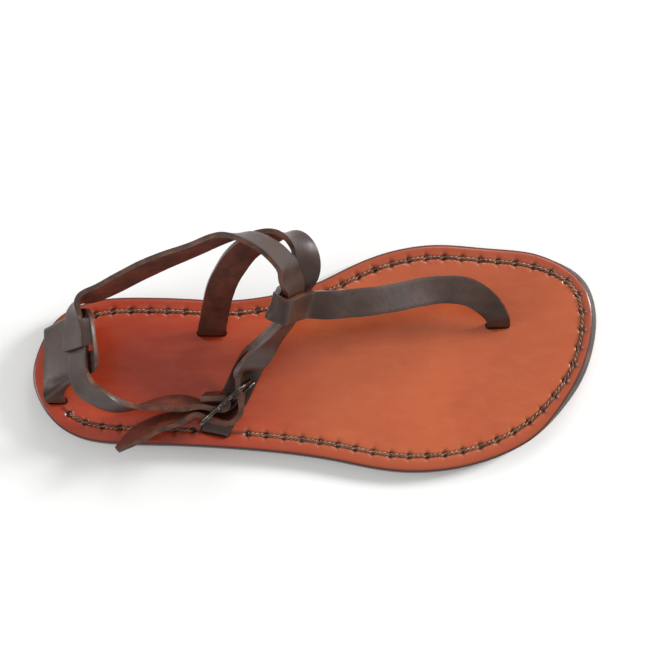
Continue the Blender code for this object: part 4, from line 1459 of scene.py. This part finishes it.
@dataclass
class HeelBand:
    """The wide band behind the heel, with two slits and the bridge that stands out over the ankle strap."""

    thickness: float = 1.8
    bow: float = 1.6
    bow_start: tuple[float, float] = (2.0, 3.6)
    bow_end: tuple[float, float] = (6.8, 8.4)
    bridge: tuple[float, float] = (4.85, 6.55)
    slit: float = 0.22
    heights: tuple[float, float] = (0.465, 0.970)
    shoulder: float = 0.05
    strap_line: float = 0.7175
    strap_lift: float = 2.5
    dip: float = 1.1
    strap_width: float = 12.0
    fine_u: int = 12
    fine_v: int = 16

    def point(self, u: float, v: float) -> Vector:
        """A place on the ruled sheet; u counts its rows and v runs from its low to its high edge."""
        middles = np.array(HEEL_BAND_ROWS).reshape(-1, 2, 3).mean(axis=1)
        knots = knots_of([(*row, 0.0) for row in middles])
        row = spline(HEEL_BAND_ROWS, knots, [np.interp(u, range(len(knots)), knots)])[0]
        return Vector(row[:3] + (row[3:] - row[:3]) * v)

    def frame(self, u: float, v: float) -> tuple[Vector, Vector, Vector]:
        """Place, direction across and outward normal of the bowed sheet."""
        width = self.point(u, 1.0) - self.point(u, 0.0)
        across = width.normalized()
        run = self.point(u + 0.05, v) - self.point(u - 0.05, v)
        outward = across.cross(run).normalized()
        share = smoothstep(u, *self.bow_start) * (1.0 - smoothstep(u, *self.bow_end))
        bow = self.bow * float(share)
        slope = 4.0 * bow * (2.0 * v - 1.0) / width.length
        tilted = (across + outward * slope).normalized()
        spot = self.point(u, v) - outward * (4.0 * bow * v * (1.0 - v))
        return spot, tilted, tilted.cross(run).normalized()

    def strap_rows(self) -> list[tuple[float, ...]]:
        """Rows of the ankle strap where it lies on the band and under the bridge."""
        rows = []
        for u, lift in BAND_STRAP_ROWS:
            spot, across, outward = self.frame(u, self.strap_line)
            rows.append((*(spot + outward * lift), *across, self.strap_width))
        return rows

    def lift(self, u: float, v: float) -> float:
        """How far the bridge stands out over the strap."""
        start, end = self.bridge
        if not start + self.slit - 0.01 < u < end - self.slit + 0.01:
            return 0.0
        low, high = self.heights
        rise = smoothstep(v, low, low + self.shoulder)
        fall = 1.0 - smoothstep(v, high - self.shoulder, high)
        middle = 0.5 * (start + end)
        dip = 1.0 - abs(u - middle) / (middle - start)
        return float((2.0 * self.strap_lift + 0.15 - self.dip * dip) * rise * fall)

    def build(self, finishes: Finishes) -> bpy.types.Object:
        """Build the band in place of its CAD node."""
        last = len(HEEL_BAND_ROWS) - 1
        start, end = self.bridge
        slits = [start, start + self.slit, end - self.slit, end]
        low, high = self.heights
        regular = np.linspace(0.0, last, last * self.fine_u + 1)
        us = sorted(slits + [u for u in regular if min(abs(u - s) for s in slits) > 0.04])
        shoulders = [low, low + 0.5 * self.shoulder, low + self.shoulder]
        shoulders += [high - self.shoulder, high - 0.5 * self.shoulder, high]
        even = np.linspace(0.0, 1.0, self.fine_v + 1)
        vs = sorted(shoulders + [v for v in even if min(abs(v - s) for s in shoulders) > 0.012])
        shape = bmesh.new()
        grid = {}
        for i, u in enumerate(us):
            for j, v in enumerate(vs):
                spot, _, outward = self.frame(u, v)
                grid[i, j] = shape.verts.new(place(spot + outward * self.lift(u, v)))
        for i in range(len(us) - 1):
            for j in range(len(vs) - 1):
                u = 0.5 * (us[i] + us[i + 1])
                v = 0.5 * (vs[j] + vs[j + 1])
                in_slit = slits[0] < u < slits[1] or slits[2] < u < slits[3]
                if in_slit and low < v < high:
                    continue
                shape.faces.new((grid[i, j], grid[i, j + 1], grid[i + 1, j + 1], grid[i + 1, j]))
        loose = [vert for vert in shape.verts if not vert.link_faces]
        bmesh.ops.delete(shape, geom=loose, context="VERTS")
        piece = new_piece("heel_band_leather", mesh_of(shape, "heel_band_leather"), finishes.strap())
        helper = Ribbon("heel_band_leather", "heel_band", (), thickness=self.thickness, round=0.35)
        helper.thicken(piece)
        helper.soften(piece)
        settle(piece)
        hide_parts("heel_band")
        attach(piece, BODY)
        return piece


def tube(name: str, points: Sequence[Vector], radius: float, cyclic: bool,
         materials: Sequence[bpy.types.Material]) -> bpy.types.Object:
    """Make a bent round wire as a mesh.

    Args:
        name: The object's name.
        points: Its middle line in the frame.
        radius: Its radius in millimetres.
        cyclic: Whether it is closed.
        materials: Its material slots.

    Returns:
        The wire.
    """
    data = bpy.data.curves.new(name, "CURVE")
    data.dimensions = "3D"
    data.bevel_depth = radius * MM
    data.bevel_resolution = 5
    data.use_fill_caps = True
    line = data.splines.new("POLY")
    line.points.add(len(points) - 1)
    for spot, point in zip(line.points, points):
        spot.co = (*point, 1.0)
    line.use_cyclic_u = cyclic
    source = bpy.data.objects.new(name + "_line", data)
    bpy.context.scene.collection.objects.link(source)
    bpy.context.view_layer.update()
    graph = bpy.context.evaluated_depsgraph_get()
    mesh = bpy.data.meshes.new_from_object(source.evaluated_get(graph))
    bpy.data.objects.remove(source, do_unlink=True)
    shape = bmesh.new()
    shape.from_mesh(mesh)
    bmesh.ops.remove_doubles(shape, verts=shape.verts[:], dist=0.000005)
    bmesh.ops.recalc_face_normals(shape, faces=shape.faces[:])
    shape.to_mesh(mesh)
    shape.free()
    mesh.shade_smooth()
    return new_piece(name, mesh, materials)


@dataclass
class Buckle:
    """The small buckle: a wire frame with a centre bar, and its prong through the ankle strap."""

    half_length: float = 14.0
    half_height: float = 8.0
    corner: float = 3.6
    wire: float = 1.0
    bar_wire: float = 0.85
    arc_step: float = 11.25
    arch: float = 0.7
    prong_wire: float = 0.7
    prong_eye: float = 2.0
    prong_length: float = 16.4
    hole_radius: float = 1.25
    hole_span: tuple[float, float] = (4.5, 12.0)
    notch_span: tuple[float, float] = (-3.6, 4.6)
    notch_half: tuple[float, float] = (1.25, 4.5)
    fold_radius: float = 2.6
    fold_turn: tuple[float, float] = (-50.0, 135.0)
    fold_steps: int = 7

    def fold_rows(self) -> list[tuple[float, ...]]:
        """Rows of the ankle strap's fold round the centre bar, from the flap outward."""
        angles = np.radians(np.linspace(*self.fold_turn, self.fold_steps))
        return [(self.fold_radius * math.cos(a), self.fold_radius * math.sin(a), 0.0, 13.0) for a in angles]

    def cutters(self) -> list[bpy.types.Object]:
        """The prong's hole and the notch for its eye, as solids to cut from the strap."""
        ends = [buckle_place(forward, 0.0, self.prong_eye) for forward in self.hole_span]
        hole = tube("prong_hole", ends, self.hole_radius, False, [])
        shape = bmesh.new()
        half, deep = self.notch_half
        for forward in self.notch_span:
            for across in (-half, half):
                for out in (-deep, deep):
                    shape.verts.new(buckle_place(forward, across, out))
        bmesh.ops.convex_hull(shape, input=shape.verts[:])
        bmesh.ops.recalc_face_normals(shape, faces=shape.faces[:])
        return [hole, new_piece("prong_notch", mesh_of(shape, "prong_notch", False), [])]

    def build_frame(self, finishes: Finishes) -> bpy.types.Object:
        """Build the frame and its centre bar in place of their CAD node."""
        points = []
        long_in, high_in = self.half_length - self.corner, self.half_height - self.corner
        sides = ((1, 1), (-1, 1), (-1, -1), (1, -1))
        for quarter, (side, rise) in enumerate(sides):
            for k in range(9):
                angle = math.radians(90.0 * quarter + self.arc_step * k)
                forward = side * long_in + self.corner * math.cos(angle)
                across = rise * high_in + self.corner * math.sin(angle)
                points.append(self.arched(forward, across))
            after = sides[(quarter + 1) % 4]
            if side != after[0]:
                for share in (0.2, 0.4, 0.6, 0.8):
                    forward = (side + (after[0] - side) * share) * long_in
                    points.append(self.arched(forward, rise * self.half_height))
        ring = tube("buckle_frame_steel", points, self.wire, True, [finishes.steel])
        ends = [self.arched(0.0, sign * self.half_height) for sign in (-1.0, 1.0)]
        bar = tube("centre_bar", ends, self.bar_wire, False, [])
        carve(ring, bar, "UNION")
        settle(ring)
        bpy.data.objects.remove(bar, do_unlink=True)
        ring.data.shade_smooth()
        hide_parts("buckle_frame")
        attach(ring, BODY)
        return ring

    def arched(self, forward: float, across: float) -> Vector:
        """A place on the frame, whose long sides swell a little at their middle."""
        swell = self.arch * (1.0 - (forward / self.half_length) ** 2) * (across / self.half_height)
        return buckle_place(forward, across + swell)

    def build_prong(self, finishes: Finishes) -> bpy.types.Object:
        """Build the prong in place of its CAD node."""
        points = []
        for k in range(24, -1, -1):
            angle = math.radians(90.0 + self.arc_step * k)
            forward, out = self.prong_eye * math.cos(angle), self.prong_eye * math.sin(angle)
            points.append(buckle_place(forward, 0.0, out))
        points.append(buckle_place(0.5 * self.prong_length, 0.0, self.prong_eye + 0.05))
        points.append(buckle_place(self.prong_length, 0.0, self.prong_eye + 0.15))
        prong = tube("buckle_prong_steel", points, self.prong_wire, False, [finishes.steel])
        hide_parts("buckle_prong")
        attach(prong, BODY)
        return prong


@dataclass
class Straps:
    """The three straps that hold the foot, and the heel band that the ankle strap runs through."""

    band: HeelBand = field(default_factory=HeelBand)
    buckle: Buckle = field(default_factory=Buckle)

    def ankle_rows(self) -> Rows:
        """Rows of the ankle strap from its flap round the foot to its tail."""
        rows = [buckle_row(row) for row in (*FLAP_ROWS, *self.buckle.fold_rows(), *ANKLE_REAR_ROWS)]
        rows += list(ANKLE_HEEL_ROWS) + self.band.strap_rows() + list(ANKLE_INNER_ROWS)
        rows += [bundle_row(row) for row in ANKLE_BUNDLE_ROWS] + list(ANKLE_OUTER_ROWS)
        rows += [buckle_row(row) for row in ANKLE_BUCKLE_ROWS] + list(TAIL_ROWS)
        return rows

    def build(self, finishes: Finishes) -> list[bpy.types.Object]:
        """Build the straps, the band and the buckle."""
        instep = list(INSTEP_INNER_ROWS) + [bundle_row(row) for row in INSTEP_BUNDLE_ROWS]
        instep += list(INSTEP_OUTER_ROWS)
        toe = list(TOE_ROWS) + [loop_row(row) for row in TOE_LOOP_ROWS]
        return [
            self.band.build(finishes),
            Ribbon("instep_strap_leather", "instep_strap", instep).build(finishes),
            Ribbon("ankle_strap_leather", "ankle_strap", self.ankle_rows()).build(
                finishes, self.buckle.cutters()
            ),
            Ribbon("toe_strap_leather", "toe_strap", toe).build(finishes),
            self.buckle.build_frame(finishes),
            self.buckle.build_prong(finishes),
        ]


@dataclass
class Studio:
    """Pale floor, soft boxes above, before and behind, and the photograph's camera."""

    target: tuple[float, float, float] = (0.0040, 0.0157, 0.0085)
    distance: float = 0.750
    elevation: float = 83.0
    lens: float = 87.0
    sensor: float = 36.0
    floor_size: float = 6.0
    floor_height: float = -0.0002
    sky: float = 0.52
    # Each light: name, place, width, power.
    lights: Sequence[tuple] = (
        ("overhead_softbox", (0.25, 0.85, 0.85), 0.4, 2.6),
        ("toe_softbox", (1.2, 0.5, 0.72), 0.36, 19.0),
        ("heel_fill", (-1.0, -0.1, 0.5), 0.6, 4.0),
    )

    def light(self, name: str, spot: Sequence[float], size: float, power: float) -> None:
        """Add a soft area light that faces the sandal.

        Args:
            name: The light's name.
            spot: Its place in metres.
            size: Its width in metres.
            power: Its power in watts.
        """
        data = bpy.data.lights.new(name, "AREA")
        data.size = size
        data.energy = power
        lamp = bpy.data.objects.new(name, data)
        lamp.location = spot
        lamp.rotation_euler = (Vector(self.target) - Vector(spot)).to_track_quat("-Z", "Y").to_euler()
        bpy.context.scene.collection.objects.link(lamp)

    def camera(self) -> None:
        """Set the camera at the photograph's angle."""
        data = bpy.data.cameras.new("photo_camera")
        data.lens = self.lens
        data.sensor_width = self.sensor
        data.clip_start = 0.01
        data.clip_end = 20.0
        eye = bpy.data.objects.new("photo_camera", data)
        tilt = math.radians(self.elevation)
        offset = Vector((0.0, -math.cos(tilt), math.sin(tilt))) * self.distance
        eye.location = Vector(self.target) + offset
        eye.rotation_euler = (math.radians(90.0 - self.elevation), 0.0, 0.0)
        bpy.context.scene.collection.objects.link(eye)
        bpy.context.scene.camera = eye

    def floor(self, surface: bpy.types.Material) -> None:
        """Lay the pale floor under the sole."""
        shape = bmesh.new()
        bmesh.ops.create_grid(shape, x_segments=1, y_segments=1, size=0.5 * self.floor_size)
        piece = new_piece("pale_floor", mesh_of(shape, "pale_floor", False), [surface])
        piece.location.z = self.floor_height

    def build(self, finishes: Finishes) -> None:
        """Build the floor, the lights, the sky and the camera."""
        self.floor(finishes.floor)
        for row in self.lights:
            self.light(*row)
        world = bpy.data.worlds.new("pale_room")
        world.use_nodes = True
        sky = world.node_tree.nodes["Background"]
        sky.inputs["Color"].default_value = (1.0, 1.0, 1.0, 1.0)
        sky.inputs["Strength"].default_value = self.sky
        bpy.context.scene.world = world
        bpy.context.scene.view_settings.view_transform = "Standard"
        self.camera()


def report(piece: bpy.types.Object) -> None:
    """Log a piece's name and its number of faces."""
    LOG.info("%s: %d faces", piece.name, len(piece.data.polygons))


def main() -> None:
    """Build the sandal's pieces in order and report each."""
    logging.basicConfig(level=logging.INFO, format="%(message)s")
    finishes = Finishes()
    shape = SoleShape()
    report(Insole(SoleShape(toe_step=TOE_STEP)).build(finishes))
    report(Outsole(shape).build(finishes))
    seam = Seam(shape)
    report(seam.build("seam_above", lambda p: seat(p[:, 0]) - seam.bed_above, 1.0, finishes))
    report(seam.build("seam_below", lambda p: ground(p[:, 0]) + seam.bed_below, -1.0, finishes))
    for piece in Straps().build(finishes):
        report(piece)
    Studio().build(finishes)


if __name__ == "__main__":
    main()
